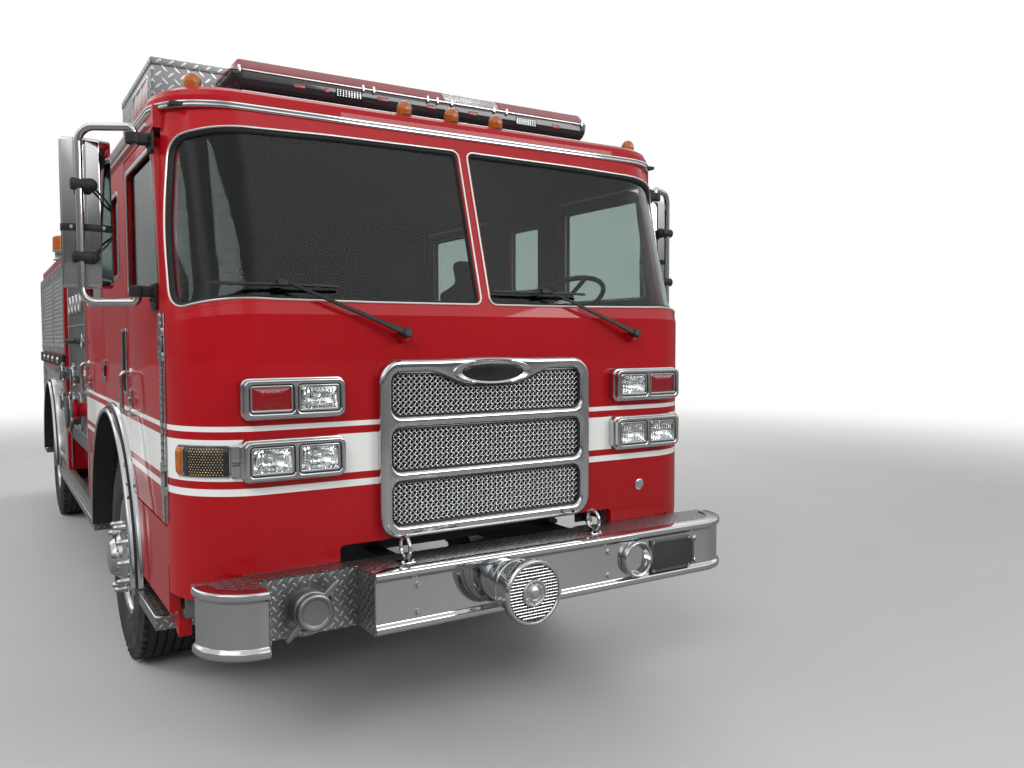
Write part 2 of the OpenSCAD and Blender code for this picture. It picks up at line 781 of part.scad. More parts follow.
// Brackets on the door that hold the mirror arm
module mirror_mount() {
    for (z = [mirror_z0, mirror_z1 - 40]) difference() {
        union() {
            box(half_w, mirror_pivot[0], mirror_pivot[1] - 30, mirror_pivot[1] + 30, z - 20, z + 20);
            translate([mirror_pivot[0], mirror_pivot[1], z - 20]) cylinder(r = 30, h = 40, $fn = 48);
        }
        translate([mirror_pivot[0], mirror_pivot[1], z - 30])
            cylinder(r = tube_r + fit_gap, h = 60, $fn = 48);
    }
}

module front_door_left() color("firebrick") on_truck() front_door();
module front_door_right() color("firebrick") on_truck() mirror([1, 0, 0]) front_door();
module crew_door_left() color("firebrick") on_truck() crew_door();
module crew_door_right() color("firebrick") on_truck() mirror([1, 0, 0]) crew_door();

module door_glass(points) side_plate(half_w - 24, half_w - 16) polygon(points);

module front_glass_left() color("darkslategray") on_truck() door_glass(front_window);
module front_glass_right() color("darkslategray") on_truck() mirror([1, 0, 0])
    door_glass(front_window);
module crew_glass_left() color("darkslategray") on_truck() door_glass(crew_window);
module crew_glass_right() color("darkslategray") on_truck() mirror([1, 0, 0])
    door_glass(crew_window);

module mirror_arm() {
    px = mirror_pivot[0];
    py = mirror_pivot[1];
    tx = mirror_tube[0];
    ty = mirror_tube[1];
    low = mirror_z0 - 42;
    high = mirror_z1 + 2;
    translate([px, py, low]) cylinder(r = tube_r, h = 66, $fn = 48);
    translate([px, py, high - 66]) cylinder(r = tube_r, h = 66, $fn = 48);
    for (z = [low, high]) rod([px, py, z], [tx, ty, z], tube_r);
    for (x = [[px, py], [tx, ty]], z = [low, high]) translate([x[0], x[1], z])
        sphere(r = tube_r + 1, $fn = 24);
    rod([tx, ty, low], [tx, ty, high], tube_r);
    for (z = [1960, 2230]) rod([tx, ty, z], [tx - 30, ty + 70, z], 26);
    translate([tx - 30, ty + 60, 1845]) linear_extrude(570) polygon([
        [-80, 40], [-90, 10], [-60, -12], [0, -20], [60, -12], [90, 10], [80, 40]]);
}

module mirror_left() color("silver") on_truck() mirror_arm();
module mirror_right() color("silver") on_truck() mirror([1, 0, 0]) mirror_arm();

// One wiper on the leaning plane, its arm parked towards -X, x and y from the pivot
module wiper(x) leaning() translate([x, -wiper_off, wiper_s]) rotate([90, 0, 0]) {
    translate([0, 0, -wiper_off - 60]) cylinder(r = wiper_pin_r, h = wiper_off + 78, $fn = 32);
    translate([0, 0, 4]) cylinder(r = 20, h = 18, $fn = 32);
    rotate([0, 0, 157]) translate([0, -11, 6]) cube([505, 22, 10]);
    translate([-480, 180, -14]) cube([40, 16, 24]);
    translate([-724, 182, -18]) cube([485, 12, 12]);
}

module wiper_left() color("black") on_truck() wiper(wiper_x_left);
module wiper_right() color("black") on_truck() wiper(wiper_x_right);

module steering_wheel() color("black") on_truck() on_column() {
    rotate_extrude($fn = 64) translate([215, 0]) circle(r = 14, $fn = 24);
    cylinder(r = 50, h = 30, center = true, $fn = 32);
    for (a = [30, 150, 270]) rotate([0, 0, a]) translate([0, -15, -6]) cube([205, 30, 12]);
    translate([0, 0, -150]) cylinder(r = steer_pin_r, h = 150, $fn = 32);
}

// Wheels

module knuckle() {
    translate([kingpin_x, front_axle_y, axle_z - 120]) cylinder(r = 28, h = 240, $fn = 48);
    for (dz = [-120, 80]) translate([kingpin_x, front_axle_y, axle_z + dz])
        cylinder(r = 52, h = 40, $fn = 48);
    box(kingpin_x + 56, kingpin_x + 90, front_axle_y - 45, front_axle_y + 45,
        axle_z - 120, axle_z + 120);
    for (dz = [-120, 80]) box(kingpin_x, kingpin_x + 60, front_axle_y - 40, front_axle_y + 40,
        axle_z + dz, axle_z + dz + 40);
    rod([kingpin_x + 80, front_axle_y, axle_z], [front_track_x + 190, front_axle_y, axle_z],
        spindle_r, 48);
}

module knuckle_left() color("dimgray") on_truck() knuckle();
module knuckle_right() color("dimgray") on_truck() mirror([1, 0, 0]) knuckle();

// A tyre section turned about the axle, centred on x
module tyre(x, y) translate([x, y, axle_z]) rotate([0, 90, 0]) rotate_extrude($fn = 96)
    polygon([[285, -90], [300, -tyre_w / 2 + 20], [380, -tyre_w / 2], [470, -tyre_w / 2 + 8],
        [515, -tyre_w / 2 + 22], [tyre_r, -tyre_w / 2 + 50], [tyre_r, tyre_w / 2 - 50],
        [515, tyre_w / 2 - 22], [470, tyre_w / 2 - 8], [380, tyre_w / 2],
        [300, tyre_w / 2 - 20], [285, 90]]);

// A rim with its disc at disc_x from its centre, with hand holes and wheel nuts
module rim(x, y, disc_x, hub_x) translate([x, y, axle_z]) rotate([0, 90, 0]) {
    difference() {
        rotate_extrude($fn = 96) polygon([
            [spindle_r + fit_gap, disc_x - 60], [110, disc_x - 60], [120, disc_x - 14],
            [268, disc_x - 14], [270, -105], [286, -122], [300, -130], [285, -90],
            [285, 90], [300, 130], [288, 122], [276, 100], [272, disc_x + 4], [150, disc_x + 4],
            [145, disc_x + 40], [112, disc_x + 58], [100, hub_x - 12], [86, hub_x],
            [spindle_r + fit_gap, hub_x]]);
        for (a = [0 : 36 : 324]) rotate([0, 0, a + 18]) translate([225, 0, disc_x - 20])
            cylinder(r = 20, h = 40, $fn = 32);
    }
    for (a = [0 : 36 : 324]) rotate([0, 0, a]) translate([168, 0, disc_x + 4])
        cylinder(r = 16, h = 30, $fn = 6);
}

module front_tyre_left() color("black") on_truck() tyre(front_track_x, front_axle_y);
module front_tyre_right() color("black") on_truck() tyre(-front_track_x, front_axle_y);
module front_rim_left() color("silver") on_truck() rim(front_track_x, front_axle_y, 110, 195);
module front_rim_right() color("silver") on_truck() mirror([1, 0, 0])
    rim(front_track_x, front_axle_y, 110, 195);

module rear_tyres_left() color("black") on_truck() {
    tyre(rear_outer_x, rear_axle_y);
    tyre(rear_inner_x, rear_axle_y);
}
module rear_tyres_right() color("black") on_truck() mirror([1, 0, 0]) {
    tyre(rear_outer_x, rear_axle_y);
    tyre(rear_inner_x, rear_axle_y);
}
// Two rims joined by the hub drum between them
module rear_rims() {
    rim(rear_outer_x, rear_axle_y, -40, 130);
    rim(rear_inner_x, rear_axle_y, 60, 125);
    translate([rear_inner_x + 62, rear_axle_y, axle_z]) rotate([0, 90, 0]) difference() {
        cylinder(r = 130, h = rear_outer_x - rear_inner_x - 160, $fn = 64);
        translate([0, 0, -1]) cylinder(r = spindle_r + fit_gap, h = 400, $fn = 64);
    }
}
module rear_rims_left() color("silver") on_truck() rear_rims();
module rear_rims_right() color("silver") on_truck() mirror([1, 0, 0]) rear_rims();

// Pump house and body

// Side fittings of the pump house: outlets, a large inlet, gauges and pull handles
outlets = [[3320, 1180], [3320, 1400], [4220, 1180], [4220, 1400]];
inlet = [3780, 1130];
gauges = [for (i = [0 : 3]) [3420 + i * 240, 1900]];

module side_knob(y, z, r, reach, fn = 32)
    translate([1190, y, z]) rotate([0, 90, 0]) cylinder(r = r, h = reach, $fn = fn);

module pump_house() color("dimgray") on_truck() {
    box(-1190, 1190, pump_y, body_y, rail_z1, body_top);
    both() {
        for (p = outlets) {
            side_knob(p[0], p[1], 42, 66);
            translate([66, 0, 0]) side_knob(p[0], p[1], 56, 30);
        }
        side_knob(inlet[0], inlet[1], 92, 60);
        translate([60, 0, 0]) side_knob(inlet[0], inlet[1], 112, 36, 48);
        for (g = gauges) side_knob(g[0], g[1], 62, 16);
        for (i = [0 : 4]) side_knob(3460 + i * 160, 1640, 20, 60, 24);
    }
}

module body() color("firebrick") on_truck() difference() {
    union() {
        box(-half_w, half_w, body_y, rear_y, 620, body_top);
        both() box(1080, 1200, body_y + 40, rear_y - 40, body_top, body_top + 80);
    }
    box(-rail_x - rail_w / 2, rail_x + rail_w / 2, body_y - 1, tail_y, 0, rail_z1);
    both() translate([500, rear_axle_y, axle_z]) rotate([0, 90, 0])
        cylinder(r = arch_r - 30, h = big, $fn = 96);
    box(-620, 620, body_y + 60, rear_y - 60, 1500, 3000);
}

shutter_bays = [[4560, 5560], [5640, 6860]];

// Roller shutters, bright lower panels, a padded bar between them and the cab's side vents
module side_panels() color("silver") on_truck() both() {
    for (b = shutter_bays) box(half_w, half_w + 6, b[0], b[1], 1550, 2190);
    box(half_w, half_w + 6, 6910, rear_y - 20, 1550, 2190);
    difference() {
        box(half_w, half_w + 4, body_y + 20, rear_y - 20, 650, 1400);
        liner_wheel(rear_axle_y, arch_r + 26);
    }
    box(half_w, half_w + 24, body_y + 20, rear_y - 20, 1430, 1530);
    for (i = [0 : 3]) translate([half_w + 24, 4935 + i * 545, 1490]) rotate([0, 90, 0])
        cylinder(r1 = 30, r2 = 18, h = 20, $fn = 32);
    box(half_w, half_w + 6, 1200, 1350, 1390, 1705);
}

module liner_wheel(y, r)
    translate([half_w - 50, y, axle_z]) rotate([0, 90, 0]) cylinder(r = r, h = 200, $fn = 96);

frame_rails();
front_axle();
rear_axle();
drivetrain();
bumper();
bumper_deck();
suction_inlet();
tow_eyes();
siren();
air_horn();
speaker();
cab_front();
windshield_frame();
windshield();
cab_roof();
bright_rails();
cab_floor();
wheel_liners();
cab_back();
cab_side_left();
cab_side_right();
side_windows();
grille_surround();
grille_mesh();
lamp_bezels();
lamp_lenses();
amber_lamps();
light_bar();
red_lenses();
roof_box();
dashboard();
seats();
fenders();
steps();
front_door_left();
front_door_right();
front_glass_left();
front_glass_right();
crew_door_left();
crew_door_right();
crew_glass_left();
crew_glass_right();
mirror_left();
mirror_right();
wiper_left();
wiper_right();
steering_wheel();
knuckle_left();
knuckle_right();
front_tyre_left();
front_tyre_right();
front_rim_left();
front_rim_right();
rear_tyres_left();
rear_tyres_right();
rear_rims_left();
rear_rims_right();
pump_house();
body();
side_panels();
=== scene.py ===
import json
import math
import bpy
import bmesh
import numpy as np
from mathutils import Matrix

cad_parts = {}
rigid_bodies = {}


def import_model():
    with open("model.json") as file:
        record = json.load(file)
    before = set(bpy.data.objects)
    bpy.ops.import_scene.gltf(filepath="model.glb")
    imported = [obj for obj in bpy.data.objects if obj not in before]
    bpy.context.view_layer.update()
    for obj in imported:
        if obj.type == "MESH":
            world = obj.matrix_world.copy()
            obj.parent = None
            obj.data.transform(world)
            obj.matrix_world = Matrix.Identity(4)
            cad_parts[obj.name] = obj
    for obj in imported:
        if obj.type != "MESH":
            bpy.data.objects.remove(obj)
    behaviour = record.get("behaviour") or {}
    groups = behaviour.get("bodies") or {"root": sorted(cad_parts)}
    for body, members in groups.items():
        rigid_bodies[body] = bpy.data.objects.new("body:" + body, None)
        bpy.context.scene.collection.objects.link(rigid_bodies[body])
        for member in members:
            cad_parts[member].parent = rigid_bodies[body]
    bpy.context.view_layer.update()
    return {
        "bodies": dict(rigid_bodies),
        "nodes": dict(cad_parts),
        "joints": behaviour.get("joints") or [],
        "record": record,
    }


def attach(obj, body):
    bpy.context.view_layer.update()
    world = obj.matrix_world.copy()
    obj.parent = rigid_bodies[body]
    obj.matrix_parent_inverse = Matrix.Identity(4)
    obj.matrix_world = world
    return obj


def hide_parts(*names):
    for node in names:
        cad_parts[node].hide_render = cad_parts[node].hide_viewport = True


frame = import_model()
scene = bpy.context.scene
noseShift = -3.565          # every piece is worked out from the cab face, then moved by this along Y
sin, cos, pi = np.sin, np.cos, np.pi
alongX, alongY, alongZ, ahead = (1, 0, 0), (0, 1, 0), (0, 0, 1), (0, -1, 0)
print("frame loaded:", len(frame["nodes"]), "nodes")

# camera: the photograph's place and angle
view = {"place": (-1.7982, -3.0583, 1.6475), "yaw": -0.5598, "pitch": -0.0532, "roll": -0.0029,
        "focalPixels": 849.58, "pixels": 1024, "sensor": 36}


def linked(name, data):
    obj = bpy.data.objects.new(name, data)
    scene.collection.objects.link(obj)
    return obj


def stand(obj, axes, place):
    # puts an object at a place, its own three axes along the given ones
    grid = np.eye(4)
    grid[:3, :3], grid[:3, 3] = np.stack(axes, 1), place
    obj.matrix_world = Matrix(grid.tolist())


def aimCamera():
    # level axes turned by yaw about Z, then by pitch about the right axis, then by roll about the view line
    yaw, pitch, roll = view["yaw"], view["pitch"], view["roll"]
    ahead0, right0 = np.array([-sin(yaw), cos(yaw), 0]), np.array([cos(yaw), sin(yaw), 0])
    ahead1 = ahead0 * cos(pitch) + np.array([0, 0, sin(pitch)])
    up0 = np.array([0, 0, cos(pitch)]) - ahead0 * sin(pitch)
    data = bpy.data.cameras.new("camera")
    data.sensor_width, data.clip_end = view["sensor"], 200
    data.lens = view["focalPixels"] / view["pixels"] * view["sensor"]
    scene.camera = linked("camera", data)
    stand(scene.camera, (right0 * cos(roll) + up0 * sin(roll), up0 * cos(roll) - right0 * sin(roll), -ahead1),
          np.array(view["place"]) + (0, noseShift, 0))


aimCamera()
scene.view_settings.view_transform = "Standard"
print("camera placed")


# shader sockets as numbers
class Sock:
    # a socket of a material; each operator adds one Math node
    def __init__(self, mat, out):
        self.mat, self.out = mat, out

    def op(self, kind, *more):
        return self.mat.node("ShaderNodeMath", {"operation": kind}, dict(enumerate((self,) + more)))

    def __add__(self, o): return self.op("ADD", o)
    def __sub__(self, o): return self.op("SUBTRACT", o)
    def __mul__(self, o): return self.op("MULTIPLY", o)
    def __gt__(self, o): return self.op("GREATER_THAN", o)
    def __radd__(self, o): return self.op("ADD", o)
    def __rmul__(self, o): return self.op("MULTIPLY", o)
    def __rsub__(self, o): return self.mat.node("ShaderNodeMath", {"operation": "SUBTRACT"}, {0: o, 1: self})
    def abs(self): return self.op("ABSOLUTE")
    def mod(self, o): return self.op("FLOORED_MODULO", o)
    def floor(self): return self.op("FLOOR")

    def ease(self, low, high):
        # 0 below low, 1 above high, and a smooth step between
        return self.mat.node("ShaderNodeMapRange", {"interpolation_type": "SMOOTHSTEP"},
                             {"Value": self, "From Min": low, "From Max": high})


class Finish:
    # one material with its Principled shader, and short ways to add nodes to it
    names = {"color": "Base Color", "rough": "Roughness", "metal": "Metallic", "coat": "Coat Weight",
             "coatRough": "Coat Roughness", "ior": "IOR", "glass": "Transmission Weight", "normal": "Normal",
             "specular": "Specular IOR Level"}

    def __init__(self, name, **constants):
        self.bpy = bpy.data.materials.new(name)
        self.bpy.use_nodes = True
        self.tree = self.bpy.node_tree
        self.shader = self.tree.nodes["Principled BSDF"]
        for key, value in constants.items():
            self.set(key, value)

    def set(self, key, value):
        self.plug(self.shader.inputs[self.names[key]], value)

    def plug(self, socket, value):
        if isinstance(value, Sock):
            self.tree.links.new(value.out, socket)
        else:
            socket.default_value = value

    def node(self, kind, settings, inputs, out=0):
        n = self.tree.nodes.new(kind)
        for key, value in settings.items():
            setattr(n, key, value)
        for key, value in inputs.items():
            self.plug(n.inputs[key], value)
        return Sock(self, n.outputs[out])

    def place(self):
        # object coordinates as one vector and as three numbers
        at = self.node("ShaderNodeTexCoord", {}, {}, "Object")
        return (at,) + self.split(at)

    def split(self, vector):
        n = self.tree.nodes.new("ShaderNodeSeparateXYZ")
        self.tree.links.new(vector.out, n.inputs[0])
        return tuple(Sock(self, o) for o in n.outputs)

    def join(self, x, y, z):
        return self.node("ShaderNodeCombineXYZ", {}, {0: x, 1: y, 2: z})

    def noise(self, at, scale, detail=3.0):
        return self.node("ShaderNodeTexNoise", {}, {"Vector": at, "Scale": scale, "Detail": detail, "Roughness": 0.5})

    def tint(self, amount, a, b):
        # colour a where amount is 0 and b where it is 1
        a, b = (c if isinstance(c, Sock) else tuple(c) + (1,) for c in (a, b))
        return self.node("ShaderNodeMix", {"data_type": "RGBA"}, {0: amount, 6: a, 7: b}, 2)

    def bump(self, height, strength, distance):
        self.set("normal", self.node("ShaderNodeBump", {}, {"Strength": strength, "Distance": distance,
                                                           "Height": height}))


def scaled(color, by, more=0.0):
    return tuple(min(1, c * by + more) for c in color)


# finishes
stripes = {"bands": ((1.086, 1.112), (1.14, 1.289), (1.318, 1.337)), "white": (0.7, 0.71, 0.69), "edge": 0.0008}


def redPaint(name, striped=False):
    # deep red under clear coat; a faint orange peel, and white bands at set heights
    m = Finish(name, rough=0.42, coat=0.45, coatRough=0.02, specular=0.08)
    at, _, _, z = m.place()
    red = m.tint(m.noise(at, 1.3, 2).ease(0.3, 0.7), (0.3, 0.003, 0.006), (0.35, 0.004, 0.009))
    if striped:
        mask, edge = 0.0, stripes["edge"]
        for low, high in stripes["bands"]:
            mask = z.ease(low - edge, low + edge) * (1 - z.ease(high - edge, high + edge)) + mask
        red = m.tint(mask, red, stripes["white"])
    m.set("color", red)
    m.bump(m.noise(at, 55, 2), 0.045, 0.002)
    return m


def metalFinish(name, color, rough, scratch=0.05, scale=60.0, stretch=1, dull=0.06):
    # metal with uneven polish and fine scratches, drawn out level by stretch
    m = Finish(name, metal=1.0)
    at, x, y, z = m.place()
    far = m.noise(at, 4.0, 4)
    fine = m.noise(m.join(x, y, z * stretch), scale, 4)
    m.set("color", m.tint(far.ease(0.3, 0.75), color, scaled(color, 1 - dull)))
    m.set("rough", rough + far.ease(0.35, 0.8) * dull + (fine - 0.5) * scratch)
    m.bump(fine, 0.02, 0.001)
    return m


def treadFinish(name, pitch, color=(0.66, 0.67, 0.68)):
    # raised lozenges that lean one way and the other by turns, on the plane that the surface faces
    m = Finish(name, metal=1.0)
    at, x, y, z = m.place()
    nx, ny, nz = [n.abs() for n in m.split(m.node("ShaderNodeTexCoord", {}, {}, "Normal"))]
    top = nz > 0.7
    side = (nx > 0.7) * (1 - top)
    u = x * (1 - side) + y * side
    v = z * (1 - top) + y * top
    a, b = (u + v) * (0.7071 / pitch), (u - v) * (0.7071 / pitch)
    odd = (a.floor() + b.floor()).mod(2.0)
    fa, fb = (a.mod(1.0) - 0.5).abs(), (b.mod(1.0) - 0.5).abs()
    longWay, thin = fa * odd + fb * (1 - odd), fb * odd + fa * (1 - odd)
    bar = 1 - (longWay * longWay * 4.0 + thin * thin * 46.0).ease(0.6, 1.1)
    worn = m.noise(at, 9.0, 4)
    # the flats between the bars are painted darker than the bars: painted shade between the raised bars
    m.set("color", m.tint(bar, scaled(color, 0.42), color))
    m.set("rough", 0.42 - bar * 0.2 + worn.ease(0.4, 0.8) * 0.1)
    m.bump(bar + worn * 0.04, 0.55, 0.0022)
    return m


def plasticFinish(name, color, rough=0.5, grain=0.25, scale=380.0, coat=0.0):
    # moulded surface with a fine pebble and a little dust
    m = Finish(name, coat=coat, specular=0.25)
    at = m.place()[0]
    dust = m.noise(at, 5.0, 5)
    m.set("color", m.tint(dust.ease(0.45, 0.8) * 0.5, color, scaled(color, 1.5, 0.012)))
    m.set("rough", rough + dust.ease(0.4, 0.8) * 0.12)
    m.bump(m.noise(at, scale, 2), grain, 0.0006)
    return m


def lensFinish(name, color, pitch=0.006, glass=0.85, rough=0.08):
    # coloured lens with upright flutes
    m = Finish(name, glass=glass, rough=rough, ior=1.45, coat=0.6, coatRough=0.03)
    at, x, y, z = m.place()
    flute = ((x + y * 0.6) * (2 * pi / pitch)).op("SINE")
    m.set("color", m.tint(m.noise(at, 30.0, 2).ease(0.3, 0.7), color, scaled(color, 0.86)))
    m.bump(flute, 0.35, 0.0012)
    return m


def rubberFinish(name):
    # tyre rubber with a fine grain and road dust
    m = Finish(name)
    at = m.place()[0]
    dust = m.noise(at, 7.0, 5)
    m.set("color", m.tint(dust.ease(0.4, 0.85), (0.018, 0.018, 0.019), (0.055, 0.052, 0.048)))
    m.set("rough", 0.62 + dust.ease(0.3, 0.8) * 0.22)
    m.bump(m.noise(at, 160.0, 3), 0.3, 0.001)
    return m


def glassFinish(name, color):
    # tinted pane: mostly mirror at a slant, dark but clear face on
    m = Finish(name, glass=1.0, rough=0.0, ior=1.28, specular=0.3)
    at = m.place()[0]
    m.set("color", m.tint(m.noise(at, 2.0, 2).ease(0.2, 0.8), color, scaled(color, 0.92)))
    return m


# each finish with the material slot it belongs to
looks = {
    "red": ("body_red", redPaint("redPaint")),
    "redStriped": ("body_red", redPaint("redPaintStriped", True)),
    "chrome": ("chrome", metalFinish("brightChrome", (0.58, 0.59, 0.6), 0.045, 0.03, 70, dull=0.05)),
    "bead": ("chrome", metalFinish("brightBead", (0.86, 0.86, 0.82), 0.42, 0.05, 90)),
    "polished": ("polished_aluminium", metalFinish("polishedAluminium", (0.6, 0.61, 0.62), 0.16, 0.1, 90, 14)),
    "satin": ("satin_aluminium", metalFinish("satinAluminium", (0.58, 0.59, 0.6), 0.34, 0.16, 60, 20)),
    "cast": ("cast_grey", metalFinish("castFitting", (0.3, 0.31, 0.32), 0.38, 0.2, 120)),
    "tread": ("treadplate", treadFinish("treadplate", 0.027)),
    "treadWide": ("treadplate", treadFinish("treadplateWide", 0.036)),
    "black": ("black_plastic", plasticFinish("blackMoulding", (0.018, 0.018, 0.02), 0.42)),
    "gloss": ("black_plastic", plasticFinish("glossBlack", (0.012, 0.012, 0.014), 0.16, 0.03, 90, 0.4)),
    "chassis": ("chassis_black", plasticFinish("chassisPaint", (0.02, 0.021, 0.022), 0.5, 0.3, 60)),
    "trim": ("grey_trim", plasticFinish("cabLining", (0.03, 0.031, 0.033), 0.7, 0.4, 240)),
    "cloth": ("seat_cloth", plasticFinish("seatCloth", (0.025, 0.026, 0.03), 0.85, 0.6, 500)),
    "panel": ("pump_panel", plasticFinish("pumpPanel", (0.06, 0.064, 0.066), 0.45, 0.5, 300, 0.1)),
    "meshPaint": ("dark_mesh", metalFinish("grilleWire", (0.55, 0.56, 0.57), 0.22, 0.08, 200)),
    "glass": ("window_glass", glassFinish("tintedGlass", (0.5, 0.58, 0.55))),
    "slat": ("satin_aluminium", metalFinish("shutterSlat", (0.66, 0.67, 0.68), 0.38, 0.12, 60, 24)),
    "clearLens": ("clear_lens", lensFinish("clearLens", (0.96, 0.97, 0.97), 0.011)),
    "dial": ("clear_lens", plasticFinish("dialFace", (0.78, 0.78, 0.75), 0.5, 0.02, 90)),
    "redLens": ("red_lens", lensFinish("redLens", (0.33, 0.004, 0.01), 0.008, 0.35)),
    "amberLens": ("amber_lens", lensFinish("amberLens", (0.5, 0.115, 0.007), 0.006, 0.3)),
    "smoked": ("black_plastic", plasticFinish("smokedLens", (0.016, 0.017, 0.02), 0.12, 0.02, 60, 0.6)),
    "emitter": ("amber_lens", metalFinish("ledEmitter", (0.86, 0.66, 0.3), 0.3, 0.05, 90)),
    "rubberTrim": ("black_plastic", plasticFinish("rubberTrim", (0.014, 0.014, 0.015), 0.55, 0.2, 200)),
    "rubber": ("tyre_rubber", rubberFinish("tyreRubber")),
    "mirror": ("chrome", metalFinish("reflector", (0.86, 0.87, 0.88), 0.05, 0.02, 40, dull=0.03)),
    "lampGlass": ("clear_lens", lensFinish("lampGlass", (0.97, 0.98, 0.98), 0.014, 1.0, 0.02)),
}
print("finishes made:", len(looks))

# every CAD node gets the first finish of its slot, and the cab's skins get the stripes
bySlot = {slot: look for look, (slot, m) in reversed(looks.items())}
striped = ("cab_front", "front_door_left", "front_door_right", "crew_door_left", "crew_door_right",
           "cab_side_left", "cab_side_right")
for part in frame["record"]["subparts"]:
    obj = frame["nodes"][part["node"]]
    look = "redStriped" if part["node"] in striped else bySlot[part["material_slot"]]
    if not obj.material_slots:
        obj.data.materials.append(looks[look][1].bpy)
    for s in obj.material_slots:
        s.material = looks[look][1].bpy


# surfaces
def gridFaces(rows, cols, closeRows=False, closeCols=False):
    # quads between neighbouring rows and columns of a grid, wrapped where it closes
    i = np.arange(rows if closeRows else rows - 1)[:, None]
    j = np.arange(cols if closeCols else cols - 1)[None, :]
    i1, j1 = (i + 1) % rows, (j + 1) % cols
    return xyz(i * cols + j, i * cols + j1, i1 * cols + j1, i1 * cols + j).reshape(-1, 4)


def xyz(*parts):
    # coordinates side by side, each spread to one common shape
    return np.stack(np.broadcast_arrays(*parts), -1)


class Shape:
    # collects point arrays and face arrays into one mesh
    def __init__(self):
        self.points, self.faces, self.mats, self.count, self.mat = [], [], [], 0, 0

    def add(self, points, faces):
        points = np.asarray(points, float).reshape(-1, 3)
        faces = [np.asarray(f, int).reshape(1, -1) if np.ndim(f) == 1 else np.asarray(f, int) for f in faces]
        self.faces += [f + self.count for f in faces]
        self.mats += [np.full(len(f), self.mat) for f in faces]
        self.points.append(points)
        self.count += len(points)
        return self

    def grid(self, p, closeRows=False, closeCols=False, caps=False):
        # a grid of points as quads; caps fills its first and last rows
        p = np.asarray(p, float)
        rows, cols = p.shape[:2]
        faces = [gridFaces(rows, cols, closeRows, closeCols)]
        if caps:
            faces += [np.arange(cols)[::-1], np.arange(cols) + (rows - 1) * cols]
        return self.add(p, faces)

    def copies(self, other, places, turns=None):
        # other's points turned by each matrix and moved to each place
        pts = np.concatenate(other.points)
        places = np.asarray(places, float).reshape(-1, 3)
        turnedPts = pts[None] if turns is None else np.einsum("kij,nj->kni", np.asarray(turns, float), pts)
        step = (np.arange(len(places)) * len(pts))[:, None, None]
        self.add(turnedPts + places[:, None], [(f[None] + step).reshape(-1, f.shape[1]) for f in other.faces])
        self.mats[-len(other.faces):] = [np.tile(m, len(places)) + self.mat for m in other.mats]
        return self


def gather(*shapes):
    # several shapes, or lists of them, as one
    whole = Shape()
    for s in shapes:
        s = gather(*s) if isinstance(s, (list, tuple)) else s
        whole.faces += [f + whole.count for f in s.faces]
        whole.points += s.points
        whole.mats += s.mats
        whole.count += s.count
    return whole


def flip(shape):
    # the same surfaces on the other side of X = 0
    out = Shape()
    out.points = [p * (-1, 1, 1) for p in shape.points]
    out.faces, out.mats, out.count = [f[:, ::-1] for f in shape.faces], list(shape.mats), shape.count
    return out


def bothSides(*shapes):
    return gather(*shapes, flip(gather(*shapes)))


def dressed(shape, index):
    # the same shape with all its faces on material number index
    shape.mats = [np.full(len(m), index) for m in shape.mats]
    return shape


def piece(name, shape, look, body="root", replaces=(), slot=None, smooth=40, side=1, weld=True):
    # makes the mesh, welds seams and poles, turns faces outwards, and lets it ride on its body
    shape = gather(shape)
    looked = [looks[key] for key in ([look] if isinstance(look, str) else look)]
    pts = np.concatenate(shape.points) * (side, 1, 1) + (0, noseShift, 0)
    sizes = np.concatenate([np.full(len(f), f.shape[1]) for f in shape.faces])
    loops = np.concatenate([(f[:, ::-1] if side < 0 else f).ravel() for f in shape.faces])
    mesh = bpy.data.meshes.new(name)
    mesh.vertices.add(len(pts)); mesh.vertices.foreach_set("co", pts.ravel())
    mesh.loops.add(len(loops)); mesh.loops.foreach_set("vertex_index", loops)
    mesh.polygons.add(len(sizes))
    mesh.polygons.foreach_set("loop_start", np.concatenate([[0], np.cumsum(sizes)[:-1]]))
    mesh.polygons.foreach_set("material_index", np.concatenate(shape.mats))
    mesh.update(calc_edges=True)
    if weld:
        b = bmesh.new()
        b.from_mesh(mesh)
        bmesh.ops.remove_doubles(b, verts=b.verts, dist=2e-5)
        bmesh.ops.recalc_face_normals(b, faces=b.faces)
        b.to_mesh(mesh)
        b.free()
    mesh.shade_smooth()
    mesh.set_sharp_from_angle(angle=math.radians(smooth))
    for ownSlot, m in looked:
        mesh.materials.append(m.bpy)
    obj = linked(name, mesh)
    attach(obj, body)
    slot or looked[0][0]
    if replaces:
        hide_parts(replaces)
    return obj


def eachSide(*rows):
    # left and right pieces from rows of name, shape, finish, body, replaced node and smoothing angle
    for side, k in (("_left", 1), ("_right", -1)):
        for name, shape, look, body, node, smooth in rows:
            piece(name + side, shape, look, body + side, node and node + side, smooth=smooth, side=k)


def unit(v):
    return v / np.maximum(np.linalg.norm(v, axis=-1, keepdims=True), 1e-12)


def circle(r, n=16):
    # n points round a circle
    a = np.arange(n) * 2 * pi / n
    return xyz(r * cos(a), r * sin(a))


def rounded(x0, x1, z0, z1, r, n=6):
    # outline of a rectangle with quarter-circle corners, anticlockwise
    a = np.linspace(0, pi / 2, n + 1)
    return np.concatenate([xyz(cx + r * cos(a + t), cz + r * sin(a + t)) for cx, cz, t in (
        (x1 - r, z1 - r, 0), (x0 + r, z1 - r, pi / 2), (x0 + r, z0 + r, pi), (x1 - r, z0 + r, 1.5 * pi))])


def outward(loop):
    # unit normals of a flat outline, from the chord between each point's neighbours
    t = np.roll(loop, -1, 0) - np.roll(loop, 1, 0)
    return unit(xyz(t[:, 1], -t[:, 0]))


